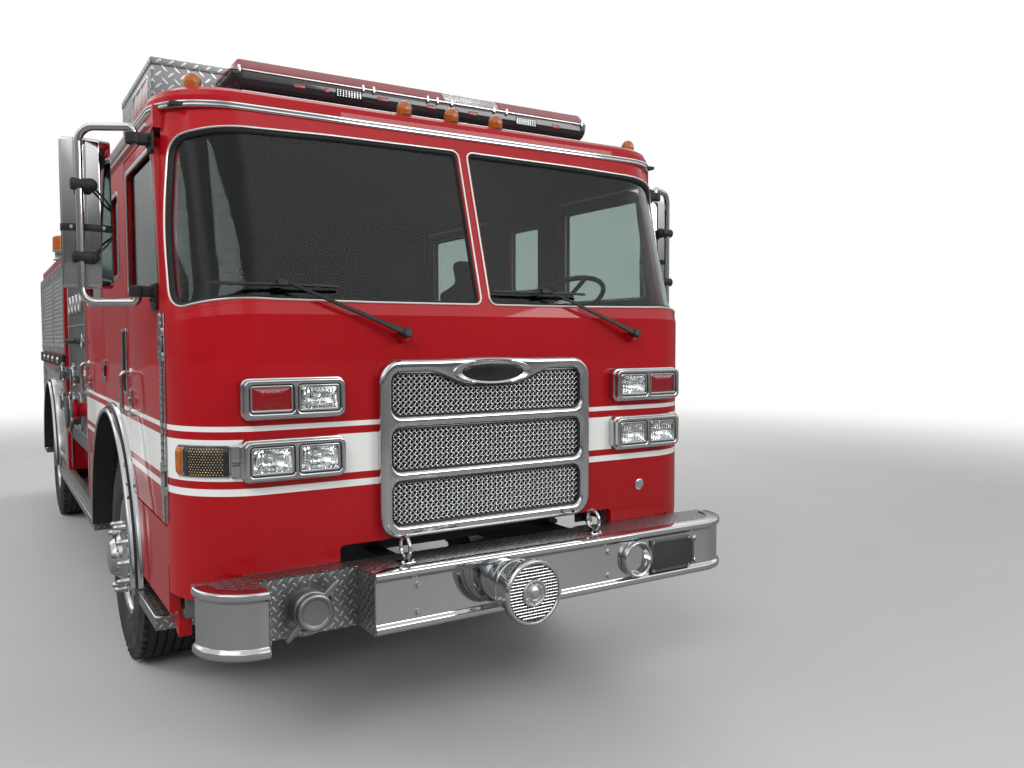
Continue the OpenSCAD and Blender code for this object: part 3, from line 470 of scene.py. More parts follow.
def bend(points, r, n=6):
    # a line through points whose inner corners are circular arcs of radius r
    points = np.asarray(points, float)
    r = np.broadcast_to(r, len(points))
    out = [points[:1]]
    for k in range(1, len(points) - 1):
        p, u, v = points[k], unit(points[k - 1] - points[k]), unit(points[k + 1] - points[k])
        half = math.acos(max(-1, min(1, float(u @ v)))) / 2
        cut = r[k] / math.tan(half)
        mid = p + unit(u + v) * r[k] / math.sin(half)
        a, b = unit(p + u * cut - mid), unit(p + v * cut - mid)
        t = np.linspace(0, 1, n + 1)[:, None]
        sweep = pi - 2 * half
        out.append(mid + r[k] * (sin((1 - t) * sweep) * a + sin(t * sweep) * b) / math.sin(sweep))
    return np.concatenate(out + [points[-1:]])


def roundedLoop(points, r, n=6):
    # closed outline with its corners rounded, starting in the middle of its first side
    points = np.asarray(points, float)
    mid = (points[0] + points[1]) / 2
    return bend(np.concatenate([[mid], points[1:], points[:1], [mid]]), r, n)[:-1]


def evenly(loop, n):
    # the same closed outline with n points at equal steps along it
    closed = np.concatenate([loop, loop[:1]])
    d = np.concatenate([[0], np.cumsum(np.linalg.norm(np.diff(closed, axis=0), axis=1))])
    at = np.linspace(0, d[-1], n + 1)[:-1]
    return xyz(*[np.interp(at, d, column) for column in closed.T])


def carry(path, across, up, profile):
    # each profile point (a, b) goes to path + a * across + b * up
    path, profile = np.asarray(path, float), np.asarray(profile, float)
    across, up = np.broadcast_to(across, path.shape), np.broadcast_to(up, path.shape)
    p = path[:, None] + profile[None, :, :1] * across[:, None] + profile[None, :, 1:2] * up[:, None]
    return Shape().grid(p, False, True, True)


def frames(path, closed=False):
    # two axes across a path: one along the normal of the plane it lies in, one beside it
    t = unit(np.roll(path, -1, 0) - np.roll(path, 1, 0)) if closed else unit(np.gradient(path, axis=0))
    flat = np.linalg.svd(path - path.mean(0))[2][2]
    if np.abs(t @ flat).max() > 0.9:
        flat = unit(np.cross(t[0], (0.3, 0.5, 0.8)))
    side = unit(np.cross(t, flat))
    return side, unit(np.cross(side, t))


def tube(path, r, sides=14, closed=False):
    # a circle of radius r, which may vary, carried along the path
    path = np.asarray(path, float)
    side, up = frames(path, closed)
    ring = circle(1, sides)
    rr = np.broadcast_to(r, len(path))[:, None, None]
    p = path[:, None] + rr * (ring[None, :, :1] * side[:, None] + ring[None, :, 1:2] * up[:, None])
    return Shape().grid(p, closed, True, not closed)


def turned(profile, centre=(0, 0, 0), axis=alongZ, sides=48, r=None, n=3):
    # profile points (radius, height), their corners rounded by r, turned about an axis through centre
    profile, axis = np.asarray(profile, float) if r is None else bend(profile, r, n), unit(np.asarray(axis, float))
    e1 = unit(np.cross(axis, (0, 0, 1) if abs(axis[2]) < 0.9 else (1, 0, 0)))
    e2 = np.cross(axis, e1)
    a = (np.arange(sides) * (2 * pi) / sides)[:, None]
    ringDir = cos(a) * e1 + sin(a) * e2
    p = np.asarray(centre) + profile[None, :, :1] * ringDir[:, None] + profile[None, :, 1:2] * axis
    return Shape().grid(p, True, False)


def onFront(a, b, h):      # X and Z on the cab face, height out of it
    return xyz(a, -h, b)


def onSide(a, b, h):       # Y and Z on the side, height as X
    return xyz(h, a, b)


def onTop(a, b, h):        # X and Y, height as Z
    return xyz(a, b, h)


def slab(loop, low, high, edge, toSpace, steps=3):
    # outline raised from low to high with both edges rounded off by edge, then put in space
    loop = np.asarray(loop, float)
    a = np.linspace(0, pi / 2, steps + 1)
    inset = np.concatenate([edge * (1 - sin(a)), (edge * (1 - sin(a)))[::-1]])
    height = np.concatenate([low + edge * (1 - cos(a)), high - edge * (1 - cos(a))[::-1]])
    p = loop[None] - inset[:, None, None] * outward(loop)[None]
    return Shape().grid(toSpace(p[..., 0], p[..., 1], height[:, None]), False, True, True)


def tile(x0, x1, z0, z1, r, low, high, edge, toSpace, n=3, steps=2):
    # a slab whose outline is a rounded rectangle
    return slab(rounded(x0, x1, z0, z1, r, n), low, high, edge, toSpace, steps)


def brick(x0, x1, y0, y1, z0, z1, r=0.004):
    # a box with its upright edges and its faces' rims rounded
    r = min(r, (x1 - x0) / 2.2, (y1 - y0) / 2.2, (z1 - z0) / 2.2)
    return tile(x0, x1, y0, y1, r, z0, z1, r, onTop)


def evaluated(obj):
    return obj.evaluated_get(bpy.context.evaluated_depsgraph_get())


def readPoints(rows, what="co"):
    values = np.zeros(len(rows) * 3)
    rows.foreach_get(what, values)
    return values.reshape(-1, 3)


def cutPlate(loops, low, high, edge, toSpace, steps=3):
    # flat outlines with holes, filled and bevelled by a 2D curve, then put in space
    data = bpy.data.curves.new("outline", "CURVE")
    data.dimensions, data.fill_mode = "2D", "BOTH"
    data.extrude, data.bevel_depth, data.bevel_resolution, data.offset = (high - low) / 2 - edge, edge, steps, -edge
    for loop in loops:
        s = data.splines.new("POLY")
        s.points.add(len(loop) - 1)
        s.points.foreach_set("co", np.column_stack([loop, np.zeros(len(loop)), np.ones(len(loop))]).ravel())
        s.use_cyclic_u = True
    obj = linked("outline", data)
    mesh = bpy.data.meshes.new_from_object(evaluated(obj))
    pts = readPoints(mesh.vertices)
    bySize = {}
    for f in mesh.polygons:
        bySize.setdefault(len(f.vertices), []).append(tuple(f.vertices))
    shape = Shape().add(toSpace(pts[:, 0], pts[:, 1], pts[:, 2] + (low + high) / 2),
        list(map(np.array, bySize.values())))
    bpy.data.objects.remove(obj); bpy.data.curves.remove(data); bpy.data.meshes.remove(mesh)
    return shape


def trimRound(loop, profile, toSpace):
    # each profile point (a, b) lies a outside the outline and b above the surface
    profile = np.asarray(profile, float)
    p = loop[:, None] + profile[None, :, :1] * outward(loop)[:, None]
    return Shape().grid(toSpace(p[..., 0], p[..., 1], profile[None, :, 1]), True, True)


def pane(loop, front, back, toSpace, rings=9):
    # copies of the outline shrink to its centre, on the front and on the back
    c = loop.mean(0)
    p = c + np.linspace(1, 0, rings)[:, None, None] * (loop - c)
    a, b = [toSpace(p[..., 0], p[..., 1], h) for h in (front, back)]
    return Shape().grid(np.concatenate([b[::-1], a]), False, True)


def scatter(part, places, axis):
    # copies of a part that points along +Z, each turned so that it points along axis
    places = np.asarray(places, float)
    w = unit(np.broadcast_to(np.asarray(axis, float), places.shape))
    u = unit(np.cross(np.where(np.abs(w[:, 2:]) < 0.9, alongZ, alongX), w))
    return Shape().copies(part, places, np.stack([u, np.cross(w, u), w], 2))


def bolts(r, h, places, axis, washer=1.5, sides=6):
    # at each place a washer and a hexagon head with its top edges taken off
    head = turned([(0, h), (r * 0.86, h), (r, h * 0.8), (r, h * 0.25)], sides=sides)
    ring = turned([(r, h * 0.25), (r * washer, h * 0.22), (r * washer, 0)], sides=20)
    return scatter(gather(head, ring), places, axis)


print("tools ready")

# bumper: a rolled channel in two lengths, either side of the suction bay
bumper = {"reach": 0.256, "halfWidth": 1.212, "radius": 0.2, "low": 0.576, "top": 0.805,
          "bay": (-1.000, -0.617), "bayBack": -0.09, "deckTop": 0.799, "face": -0.2442, "plate": 0.005,
          "bolts": ((-0.448, 0.736), (-0.448, 0.635), (0.448, 0.736), (0.448, 0.635), (0.952, 0.733), (0.952, 0.631))}


def endArc(radius, n=28):
    # plan of the front line and its round end: a quarter circle about the corner's centre
    a = np.linspace(0, pi / 2, n)
    cx, cy = bumper["halfWidth"] - bumper["radius"], bumper["radius"] - bumper["reach"]
    return xyz(cx + radius * sin(a), cy - radius * cos(a)), xyz(-sin(a), cos(a), 0)


def bumperRun(x0):
    # the channel's profile (depth, height) goes straight along the front and then round the end
    arcPts, arcIn = endArc(bumper["radius"])
    n = max(2, int((arcPts[0, 0] - x0) / 0.2) + 2)
    line = xyz(np.linspace(x0, arcPts[0, 0], n)[:-1], -bumper["reach"])
    path = np.concatenate([line, arcPts])
    t, b = bumper["top"], bumper["low"]
    outer = bend([(0.058, t), (0, t), (0, t - 0.024), (0.012, t - 0.036), (0.012, b + 0.038), (0, b + 0.026),
                  (0, b), (0.058, b)], 0.01, 5)
    inner = bend([(0.058, b + 0.006), (0.009, b + 0.006), (0.009, b + 0.022), (0.018, b + 0.034),
                  (0.018, t - 0.032), (0.009, t - 0.02), (0.009, t - 0.006), (0.058, t - 0.006)], 0.003, 2)
    return carry(xyz(path[:, 0], path[:, 1], 0), np.concatenate([np.tile(alongY, (n - 1, 1)), arcIn]), alongZ,
                 np.concatenate([outer, inner]))


def deckOutline():
    # plan of the deck: the front line set back, round ends, and the bay cut out
    left, _ = endArc(bumper["radius"] - 0.01)
    x0, x1 = bumper["bay"]
    return np.concatenate([[(-0.001 + left[-1, 0], 0)], left[::-1], [(x1, left[0, 1]), (x1, bumper["bayBack"]),
                           (x0, bumper["bayBack"]), (x0, left[0, 1])], left * (-1, 1), [(-left[-1, 0] + 0.001, 0)]])


inlet = {"place": (-0.815, 0, 0.678), "hole": 0.09, "lugTurn": 45}
low, t, thick = bumper["low"], bumper["deckTop"], bumper["plate"]
x0, x1 = bumper["bay"]
piece("bumperChannel", [bumperRun(x1), flip(bumperRun(-x0)),
                        bolts(0.01, 0.009, [(x, bumper["face"], z) for x, z in bumper["bolts"]], ahead)],
      "chrome", replaces="bumper", smooth=35)
bayPlate = cutPlate([rounded(x0, x1, low, t, 0.003, 2), np.array(inlet["place"])[[0, 2]] + circle(inlet["hole"], 48)],
                    -bumper["bayBack"] - thick, -bumper["bayBack"], 0.0012, onFront, 1)
bayEnds = [slab([(-0.25, low), (-0.085, low), (-0.085, t), (-0.25, t)], x, x + thick, 0.001, onSide, 1)
           for x in (x0, x1 - thick)]
piece("bumperDeck", [cutPlate([deckOutline()], t - thick, t, 0.0012, onTop, 1), bayPlate, bayEnds],
      "tread", replaces="bumper_deck", smooth=30)


def turnedFront(centre, angle=0.0):
    # like onFront, about a centre on the cab face and turned by an angle
    return lambda u, v, h: xyz(centre[0] + u * cos(angle) - v * sin(angle), centre[1] - h,
                               centre[2] + u * sin(angle) + v * cos(angle))


def suctionCap():
    # stub pipe, flange, swivel and cap (radius, distance ahead of the cab face), and two long lugs
    at = inlet["place"]
    lug = ((0.05, -0.013), (0.118, -0.01), (0.136, -0.007), (0.139, 0.0), (0.136, 0.007), (0.118, 0.01),
        (0.05, 0.013))
    return [turned([(0.052, 0.125), (0.052, -0.19), (0.062, -0.19), (0.062, 0.125)], at, ahead),
            turned([(0.062, 0.077), (0.112, 0.077), (0.112, 0.07), (0.062, 0.07)], at, ahead),
            turned([(0, 0.176), (0.046, 0.176), (0.05, 0.18), (0.06, 0.182), (0.066, 0.178), (0.066, 0.152),
                    (0.0695, 0.15), (0.072, 0.146), (0.072, 0.133), (0.068, 0.13), (0, 0.13)], at, ahead, 64, 0.0015),
            turned([(0.063, 0.129), (0.071, 0.127), (0.071, 0.112), (0.063, 0.108)], at, ahead),
            [slab(lug, 0.134, 0.152, 0.004, turnedFront(at, math.radians(inlet["lugTurn"] + k))) for k in (0, 180)]]


piece("suctionCap", suctionCap(), "cast", replaces="suction_inlet", smooth=35)

# tow eyes: a ring of round bar in a clevis foot
towEye = {"x": 0.448, "y": -0.137, "z": 0.857, "ring": 0.0415, "bar": 0.0075}


def towRing():
    # a circle of round bar, a foot plate with two bolts and a short cheek on each side
    x, y, z, deck = towEye["x"], towEye["y"], towEye["z"], bumper["deckTop"]
    ring = circle(towEye["ring"], 48)
    return gather(tube(xyz(x, y + ring[:, 0], z + ring[:, 1]), towEye["bar"], 12, True),
                  brick(x - 0.03, x + 0.03, y - 0.032, y + 0.032, deck, deck + 0.006),
                  bolts(0.006, 0.006, [(x + s, y - 0.018, deck + 0.006) for s in (-0.021, 0.021)], alongZ),
                  [brick(x + s, x + s + 0.004, y - 0.013, y + 0.013, deck, deck + 0.026) for s in (-0.012, 0.008)])


piece("towEyes", bothSides(towRing()), "chrome", replaces="tow_eyes")

# siren: drum through the bumper, waist, rotor case and a round slatted face
siren = {"place": (-0.07, 0, 0.7), "face": 0.1065, "slats": 17, "slatPitch": 0.0118, "ribs": 19, "ribPitch": 0.0112,
         "case": ((0, 0.236), (0.086, 0.236), (0.086, 0.287), (0.072, 0.291), (0.072, 0.312), (0.094, 0.314),
                  (0.102, 0.32), (0.102, 0.338), (0.0985, 0.341), (0.0985, 0.347), (0.102, 0.35), (0.102, 0.402),
                  (0.106, 0.412), (0.121, 0.418), (0.125, 0.428), (0.125, 0.45), (0.12, 0.46), (0.111, 0.46),
                  (0.107, 0.452), (0.107, 0.44), (0, 0.44)),
         "boss": ((0.052, 0.446), (0.052, 0.456), (0.049, 0.462), (0.044, 0.462), (0.041, 0.457), (0.033, 0.456),
                  (0.031, 0.46), (0.027, 0.461), (0.025, 0.457), (0.014, 0.464), (0, 0.466))}


def blades(ends, section, x, y, z):
    # a level blade from one end to the other, its section (height, distance ahead) set at a place
    ends, section = np.array(ends)[:, None], np.array(section)
    return Shape().grid(xyz(x + ends, y - section[:, 1], z + section[:, 0]), False, True, True)


def sirenFace():
    # level slats cut to the circle's chords, thin upright ribs, and a plain ringed boss on six spokes
    x, y, z = siren["place"]
    slat = ((-0.0035, 0.441), (0.0042, 0.4435), (0.003, 0.4535), (0.0012, 0.4545), (-0.004, 0.446))
    spoke = ((0.026, -0.0022), (0.048, -0.0022), (0.048, 0.0022), (0.026, 0.0022))
    parts = []
    for dz in (np.arange(siren["slats"]) - (siren["slats"] - 1) / 2) * siren["slatPitch"]:
        half = math.sqrt(siren["face"] ** 2 - dz ** 2)
        parts.append(blades((-half, half), slat, x, y, z + dz))
    for dx in (np.arange(siren["ribs"]) - (siren["ribs"] - 1) // 2) * siren["ribPitch"]:
        half = math.sqrt(siren["face"] ** 2 - dx ** 2)
        parts.append(brick(x + dx - 0.0008, x + dx + 0.0008, y - 0.451, y - 0.441, z - half, z + half, 0.0003))
    parts.append(turned(siren["boss"], siren["place"], ahead, 48, 0.0012))
    parts += [slab(spoke, 0.455, 0.4605, 0.0008, turnedFront(siren["place"], a), 1)
              for a in np.radians((30, 90, 150, 210, 270, 330))]
    return parts


piece("sirenCase", turned(siren["case"], siren["place"], ahead, 72, 0.0022), "chrome", replaces="siren",
      slot="polished_aluminium", smooth=30)
piece("sirenFace", sirenFace(), "satin", slot="polished_aluminium", smooth=30)


def hornBell():
    # the wall's outside and inside radius grow with a power of the distance from the throat
    t = np.linspace(0, 1, 24)
    lip = bend([(0.064, 0.244), (0.078, 0.246), (0.078, 0.27), (0.073, 0.2755), (0.066, 0.272), (0.064, 0.264)],
        0.003, 4)
    line = np.concatenate([[(0, 0.094)], xyz(0.026 + 0.038 * t ** 2.4, 0.094 + 0.15 * t), lip,
                           xyz(0.02 + 0.044 * t ** 2.2, 0.092 + 0.172 * t)[::-1], [(0, 0.0915)]])
    return turned(line, (0.595, 0, 0.691), ahead, 64)


piece("hornBell", hornBell(), "chrome", replaces="air_horn", smooth=35)

# speaker: a dark plate with its outboard corners cut, level louvres and corner bolts
speaker = {"outline": ((0.684, 0.614), (0.905, 0.614), (0.934, 0.634), (0.934, 0.728), (0.905, 0.756),
    (0.684, 0.756)), "louvres": 15, "span": (0.628, 0.742), "ends": (0.695, 0.924), "cuts": (0.642, 0.728),
    "bolts": (0.692, 0.902)}


def speakerGrille():
    # a plate with a window, and blades leaning down across it that follow the cut corners
    outer = np.array(speaker["outline"])
    section = ((-0.0032, 0.246), (-0.0034, 0.2565), (-0.0026, 0.2572), (0.003, 0.247))
    (a, b), (low, high) = speaker["ends"], speaker["cuts"]
    return [cutPlate([outer, outer + outward(outer) * -0.012], 0.244, 0.2575, 0.002, onFront, 2),
            slab(outer, 0.2435, 0.2455, 0.0005, onFront, 1),
            [blades((a, b - max(0, low - z, z - high)), section, 0, 0, z)
             for z in np.linspace(*speaker["span"], speaker["louvres"])]]


piece("speakerGrille", speakerGrille(), "panel", replaces="speaker", slot="black_plastic", smooth=30)
piece("speakerBolts", bolts(0.0045, 0.004, [(x, -0.2575, z) for x in speaker["bolts"] for z in (0.748, 0.622)],
    ahead), "chrome")
print("bumper, siren, horn and speaker made")

# grille: rounded chrome surround with three windows, woven wire behind, plain oval badge
grille = {"half": 0.503, "low": 0.865, "high": 1.567, "depth": 0.045, "cornerR": 0.09,
          "windows": ((0.915, 1.092), (1.13, 1.303), (1.345, 1.52)), "windowHalf": 0.452, "windowR": 0.04,
          "dip": 0.058, "crown": 0.006, "pitch": 0.0165, "wire": 0.0026, "badge": (0.19, 0.052, 1.514),
          "rim": ((1.0, 0.03), (1.0, 0.046), (0.965, 0.0525), (0.93, 0.0525), (0.8, 0.047), (0.775, 0.0462)),
          "insert": ((0.775, 0.0462), (0.77, 0.0475), (0.6, 0.0495), (0.0, 0.0505))}


def wave(d):
    # 1 at 0, falling to 0 at -1 and 1 by half a cosine wave
    return 0.5 + 0.5 * cos(pi * np.clip(d, -1, 1))


def windowOutline(k):
    # rounded rectangle; the top one's upper edge sinks under the badge
    (low, high), half, r = grille["windows"][k], grille["windowHalf"], grille["windowR"]
    loop = rounded(-half, half, low, high, r, 8)
    if k == 2:
        loop = np.concatenate([loop[:9], xyz(np.linspace(half - r, r - half, 60)[1:-1], high), loop[9:]])
        sunk = wave(np.maximum((np.abs(loop[:, 0]) - 0.09) / 0.21, 0))
        loop[:, 1] -= np.where(loop[:, 1] > high - 1e-6, grille["dip"] * sunk, 0)
    return loop


def surround():
    # plate with three windows, its outer edge rolled over wide, and its upper edge crowned
    outer = rounded(-grille["half"], grille["half"], grille["low"], grille["high"], grille["cornerR"], 14)
    outer[:, 1] += np.where(outer[:, 1] > 1.56, grille["crown"] * wave(outer[:, 0] / 0.25), 0)
    x = np.linspace(0.4, -0.4, 41)
    outer = np.concatenate([outer[:15], xyz(x, grille["high"] + grille["crown"] * wave(x / 0.25)), outer[15:]])
    return cutPlate([outer] + [windowOutline(k) for k in range(3)], -0.002, grille["depth"], 0.0175, onFront, 6)


def badgeOval():
    # rings of one ellipse at falling scale, dished between rim and insert; the insert is material 1
    a = np.linspace(0, 2 * pi, 97)[:-1]
    rx, rz, mid = grille["badge"]
    shape = Shape()
    for shape.mat, part in enumerate((bend(grille["rim"], 0.004, 4), bend(grille["insert"], 0.001, 3))):
        shape.grid(xyz(part[:, :1] * rx * cos(a), -part[:, 1:2], mid + part[:, :1] * rz * sin(a)), False, True)
    return shape


def wovenWire(low, high):
    # wires at 45 degrees both ways; each rides over and under the others by a cosine of its length
    pitch, r, diagonal = grille["pitch"], grille["wire"], 0.70711
    half, corner, grow = grille["windowHalf"], grille["windowR"], 0.007
    mid, tall = (low + high) / 2, (high - low) / 2
    n = int((half + tall) * 1.4142 / pitch) + 1
    index = np.arange(-n, n + 1)[:, None]
    s = np.linspace(-1.1, 1.1, 1600)
    out = Shape()
    for way in (1, -1):
        # where each wire, its distance index * pitch from the centre, runs inside the window
        x, z = (s + way * index * pitch) * diagonal, (way * s - index * pitch) * diagonal
        qx, qz = np.abs(x) - (half + grow - corner), np.abs(z) - (tall + grow - corner)
        inside = np.hypot(np.maximum(qx, 0), np.maximum(qz, 0)) + np.minimum(np.maximum(qx, qz), 0) < corner
        keep = inside.sum(1) > 12
        first = s[np.argmax(inside, 1)][keep][:, None]
        last = s[len(s) - 1 - np.argmax(inside[:, ::-1], 1)][keep][:, None]
        along, k = first + (last - first) * np.linspace(0, 1, 41), index[keep]
        lift = way * cos(pi * k) * r * 0.95 * cos(pi * along / pitch)
        slope = -way * cos(pi * k) * r * 0.95 * sin(pi * along / pitch) * pi / pitch
        t = unit(xyz(diagonal, -slope, way * diagonal))
        side = np.broadcast_to((diagonal * -way, 0, diagonal), t.shape)
        ring = circle(r, 6)
        base = xyz((along + way * k * pitch) * diagonal, -0.018 - lift, (way * along - k * pitch) * diagonal + mid)
        p = base[:, :, None] + ring[:, :1] * side[:, :, None] + ring[:, 1:] * np.cross(t, side)[:, :, None]
        for wire in p:
            out.grid(wire, False, True)
    return out


piece("grilleSurround", surround(), "chrome", replaces="grille_surround", smooth=50)
piece("grilleBadge", badgeOval(), ["chrome", "gloss"], smooth=35)
piece("grilleWire", [wovenWire(*w) for w in grille["windows"]], "meshPaint", replaces="grille_mesh", smooth=60,
    weld=False)
liners = [cutPlate([loop, loop - outward(loop) * 0.007], 0.008, 0.032, 0.001, onFront, 1)
          for loop in map(windowOutline, range(3))]
piece("grilleCore", [tile(-0.47, 0.47, 0.9, 1.535, 0.04, 0.001, 0.006, 0.001, onFront, 4, 1), liners], "gloss")
t = np.linspace(-1, 1, 9)
piece("grilleSeams", [tube(xyz(x, -0.0457 + 0.02 * t ** 4 * 0.6, np.linspace(1.525, 1.562, 9)), 0.0009, 6)
                      for x in (-0.413, 0.4)], "black")
print("grille made")

# lamps beside the grille
lamps = {"x": (0.642, 1.026), "rows": ((1.137, 1.291), (1.361, 1.511)), "middle": 0.834, "gap": 0.007, "inset": 0.024}


def lampWindow(row, half, grow=0.0):
    # rounded rectangle of one lamp, half 0 beside the grille and 1 outboard
    (x0, x1), (low, high), inset = lamps["x"], lamps["rows"][row], lamps["inset"] - grow
    a, b = ((x0 + inset, lamps["middle"] - lamps["gap"] + grow),
        (lamps["middle"] + lamps["gap"] - grow, x1 - inset))[half]
    return rounded(a, b, low + inset, high - inset, 0.014 + grow)


def bezel(row):
    # a deep base, a shallow step and a face frame with two windows, one behind the other
    (a, b), (low, high) = lamps["x"], lamps["rows"][row]
    holes = [lampWindow(row, h, 0.001) for h in (0, 1)]
    base = cutPlate([rounded(a, b, low, high, 0.03, 8)] + holes, -0.024, 0.036, 0.006, onFront, 4)
    face = cutPlate([rounded(a + 0.007, b - 0.007, low + 0.007, high - 0.007, 0.025, 8)] + holes, 0.03, 0.0605,
        0.0055, onFront, 4)
    return [base, face]


def lampRing(row, half):
    # narrow chrome frame that holds one lens, with two small screws
    loop = lampWindow(row, half, -0.003)
    x = loop.mean(0)[0]
    return [cutPlate([loop, loop - outward(loop) * 0.0085], 0.034, 0.0555, 0.0028, onFront, 3),
            bolts(0.0022, 0.0015, [(x, -0.0555, loop[:, 1].max() - 0.004), (x, -0.0555, loop[:, 1].min() + 0.004)],
                  ahead, 1.2)]


def bowl(row, half, depth, facets, sharp):
    # depth falls off towards the sides with the sixth power, and a round dish sits in the middle
    (xa, za), (xb, zb) = [f(lampWindow(row, half, -0.009), 0) for f in (np.min, np.max)]
    u, v = np.meshgrid(np.linspace(-1, 1, facets), np.linspace(-1, 1, facets // 2 + 1))
    dish = 0.4 + 0.6 * np.clip(1.15 - (u ** 2 * sharp + v ** 2), 0, 1)
    h = 0.05 - depth * (1 - u ** 6) * (1 - v ** 6) * dish
    return Shape().grid(xyz((xa + xb) / 2 + u * (xb - xa) / 2, -h, (za + zb) / 2 + v * (zb - za) / 2))


def lensDome(row, half, crown=0.004):
    # loops of the lamp's outline shrink to its centre and rise by crown
    loop = lampWindow(row, half, -0.0095)
    f = np.linspace(1, 0, 9)[:, None, None]
    c = loop.mean(0)
    p = c + f * (loop - c)
    front = xyz(p[..., 0], -(0.05 + crown * (1 - f[..., 0] ** 3)), p[..., 1])
    rear = xyz(p[..., 0], -0.0475, p[..., 1])[::-1]
    return Shape().grid(np.concatenate([rear, front[:1] + (0, 0.0002, 0), front]), False, True)


def bulb(row, half):
    # a capsule on a collar standing out of the dish
    x, z = lampWindow(row, half).mean(0)
    return turned([(0, 0.043), (0.006, 0.04), (0.0065, 0.024), (0.012, 0.023), (0.013, 0.014)], (x, 0, z), ahead, 20,
        0.002)


everyLamp = [(row, half) for row in (0, 1) for half in (0, 1)]
clearLamps = everyLamp[:3]
gaskets = [cutPlate([lampWindow(*at, 0.0015), lampWindow(*at, -0.0032)], 0.034, 0.0535, 0.001, onFront, 1)
    for at in everyLamp]
pans = [slab(lampWindow(*at, 0.001), 0.0035, 0.0075, 0.001, onFront, 1) for at in everyLamp]
dishes = [bowl(*at, *dish) for at, dish in zip(clearLamps, ((0.038, 22, 1.0), (0.038, 22, 1.0), (0.04, 26, 0.7)))]
domes = [lensDome(*at, crown) for at, crown in zip(clearLamps, (0.004, 0.004, 0.006))]
piece("lampBezels", bothSides(bezel(0), bezel(1)), "chrome", replaces="lamp_bezels")
piece("lampRings", bothSides([lampRing(*at) for at in everyLamp]), "chrome")
piece("lampGaskets", bothSides(gaskets, pans), "black")
piece("lampDishes", bothSides(dishes), "mirror", smooth=8)
piece("lampBulbs", bothSides([bulb(*at) for at in clearLamps]), "chrome")
piece("lampClearLenses", bothSides(domes), "lampGlass", replaces="lamp_lenses")
piece("lampRedLenses", bothSides(lensDome(1, 1, 0.007)), "redLens")
piece("lampRedDish", bothSides(bowl(1, 1, 0.03, 18, 1.0)), "mirror", smooth=8)

# windshield: two curved panes, each in a rubber gasket with a bright bead round it
screen = {"lean": math.radians(17), "fold": 1.74, "roundFrom": 0.92, "roundR": 0.3, "front": -0.0145, "back": -0.0215,
    "opening": ((0.5, 0.05), (1.296, 0.05), (1.293, 0.4), (1.221, 0.75), (0.03, 0.75), (0.03, 0.05), (0.5, 0.05)),
    "openingRadii": (0, 0.09, 1.2, 0.08, 0.03, 0.03, 0),
    "outline": ((0.5, 0.052), (0.9, 0.057), (1.294, 0.073), (1.291, 0.4), (1.221, 0.726), (0.6, 0.745),
    (0.021, 0.748), (0.021, 0.052), (0.5, 0.052)), "radii": (0, 3.0, 0.09, 1.2, 0.085, 3.0, 0.03, 0.03, 0),
    "bead": (0.001, 0.003, 0.0042), "gasket": ((-0.017, -0.0145), (-0.015, -0.008), (-0.01, -0.003),
    (-0.003, -0.0015), (0.001, -0.003), (0.001, -0.0155))}


def onNose(u, b, h):
    # u runs along the plan line and round its corner, b goes up it and h out of it
    r, straight = screen["roundR"], screen["roundFrom"]
    turn = np.maximum(np.abs(u) - straight, 0) / r
    return xyz(np.where(turn > 0, np.sign(u) * (straight + (r + h) * sin(turn)), u),
               np.where(turn > 0, r - (r + h) * cos(turn), -h), b)


def lean(p):
    # height above the fold becomes distance up the leaning front
    x, y, z = p[..., 0], p[..., 1], p[..., 2]
    c, s = cos(screen["lean"]), sin(screen["lean"])
    return xyz(x, y * c + z * s, screen["fold"] - y * s + z * c)


def onScreen(u, b, h):
    return lean(onNose(u, b, h))


screenLoop = evenly(bend(screen["outline"], screen["radii"], 12)[:-1], 220)
opening = evenly(bend(screen["opening"], screen["openingRadii"], 12)[:-1], 220)
a, b, r = screen["bead"]
out = outward(opening)
lip = np.stack([opening + out * 0.004, opening + out * 0.0035, screenLoop, screenLoop], 1)
lip = Shape().grid(onScreen(lip[..., 0], lip[..., 1], np.array([0.0003, 0.0014, 0.0014, -0.014])), True, True)
piece("windshieldGlass", bothSides(pane(screenLoop, screen["front"], screen["back"], onScreen)), "glass",
      replaces="windshield")
piece("windshieldGasket", bothSides(trimRound(screenLoop, screen["gasket"], onScreen)), "rubberTrim")
piece("windshieldLip", bothSides(lip), "red")
piece("windshieldBead", bothSides(trimRound(screenLoop, (a, b) + circle(r, 8), onScreen)), "bead")

# wipers: a sprung arm on a domed boss, and a blade held at its middle
wiper = {"pivots": (("left", 0.757), ("right", -0.393)), "down": -0.082, "off": 0.024, "armAngle": 157,
         "blade": (-0.724, -0.239, 0.188), "clips": (-0.7, -0.6, -0.36, -0.26),
         "arm": ((-0.004, -0.013), (0.075, -0.012), (0.095, -0.009), (0.5, -0.005), (0.505, 0.0), (0.5, 0.005),
                 (0.095, 0.009), (0.075, 0.012), (-0.004, 0.013)),
         "spine": ((-0.005, -0.003), (0.005, -0.003), (0.004, 0.003), (-0.004, 0.003)),
         "rubber": ((-0.004, -0.011), (0.004, -0.011), (0.0035, -0.014), (0.001, -0.0175), (-0.001, -0.0175),
                    (-0.0035, -0.014))}


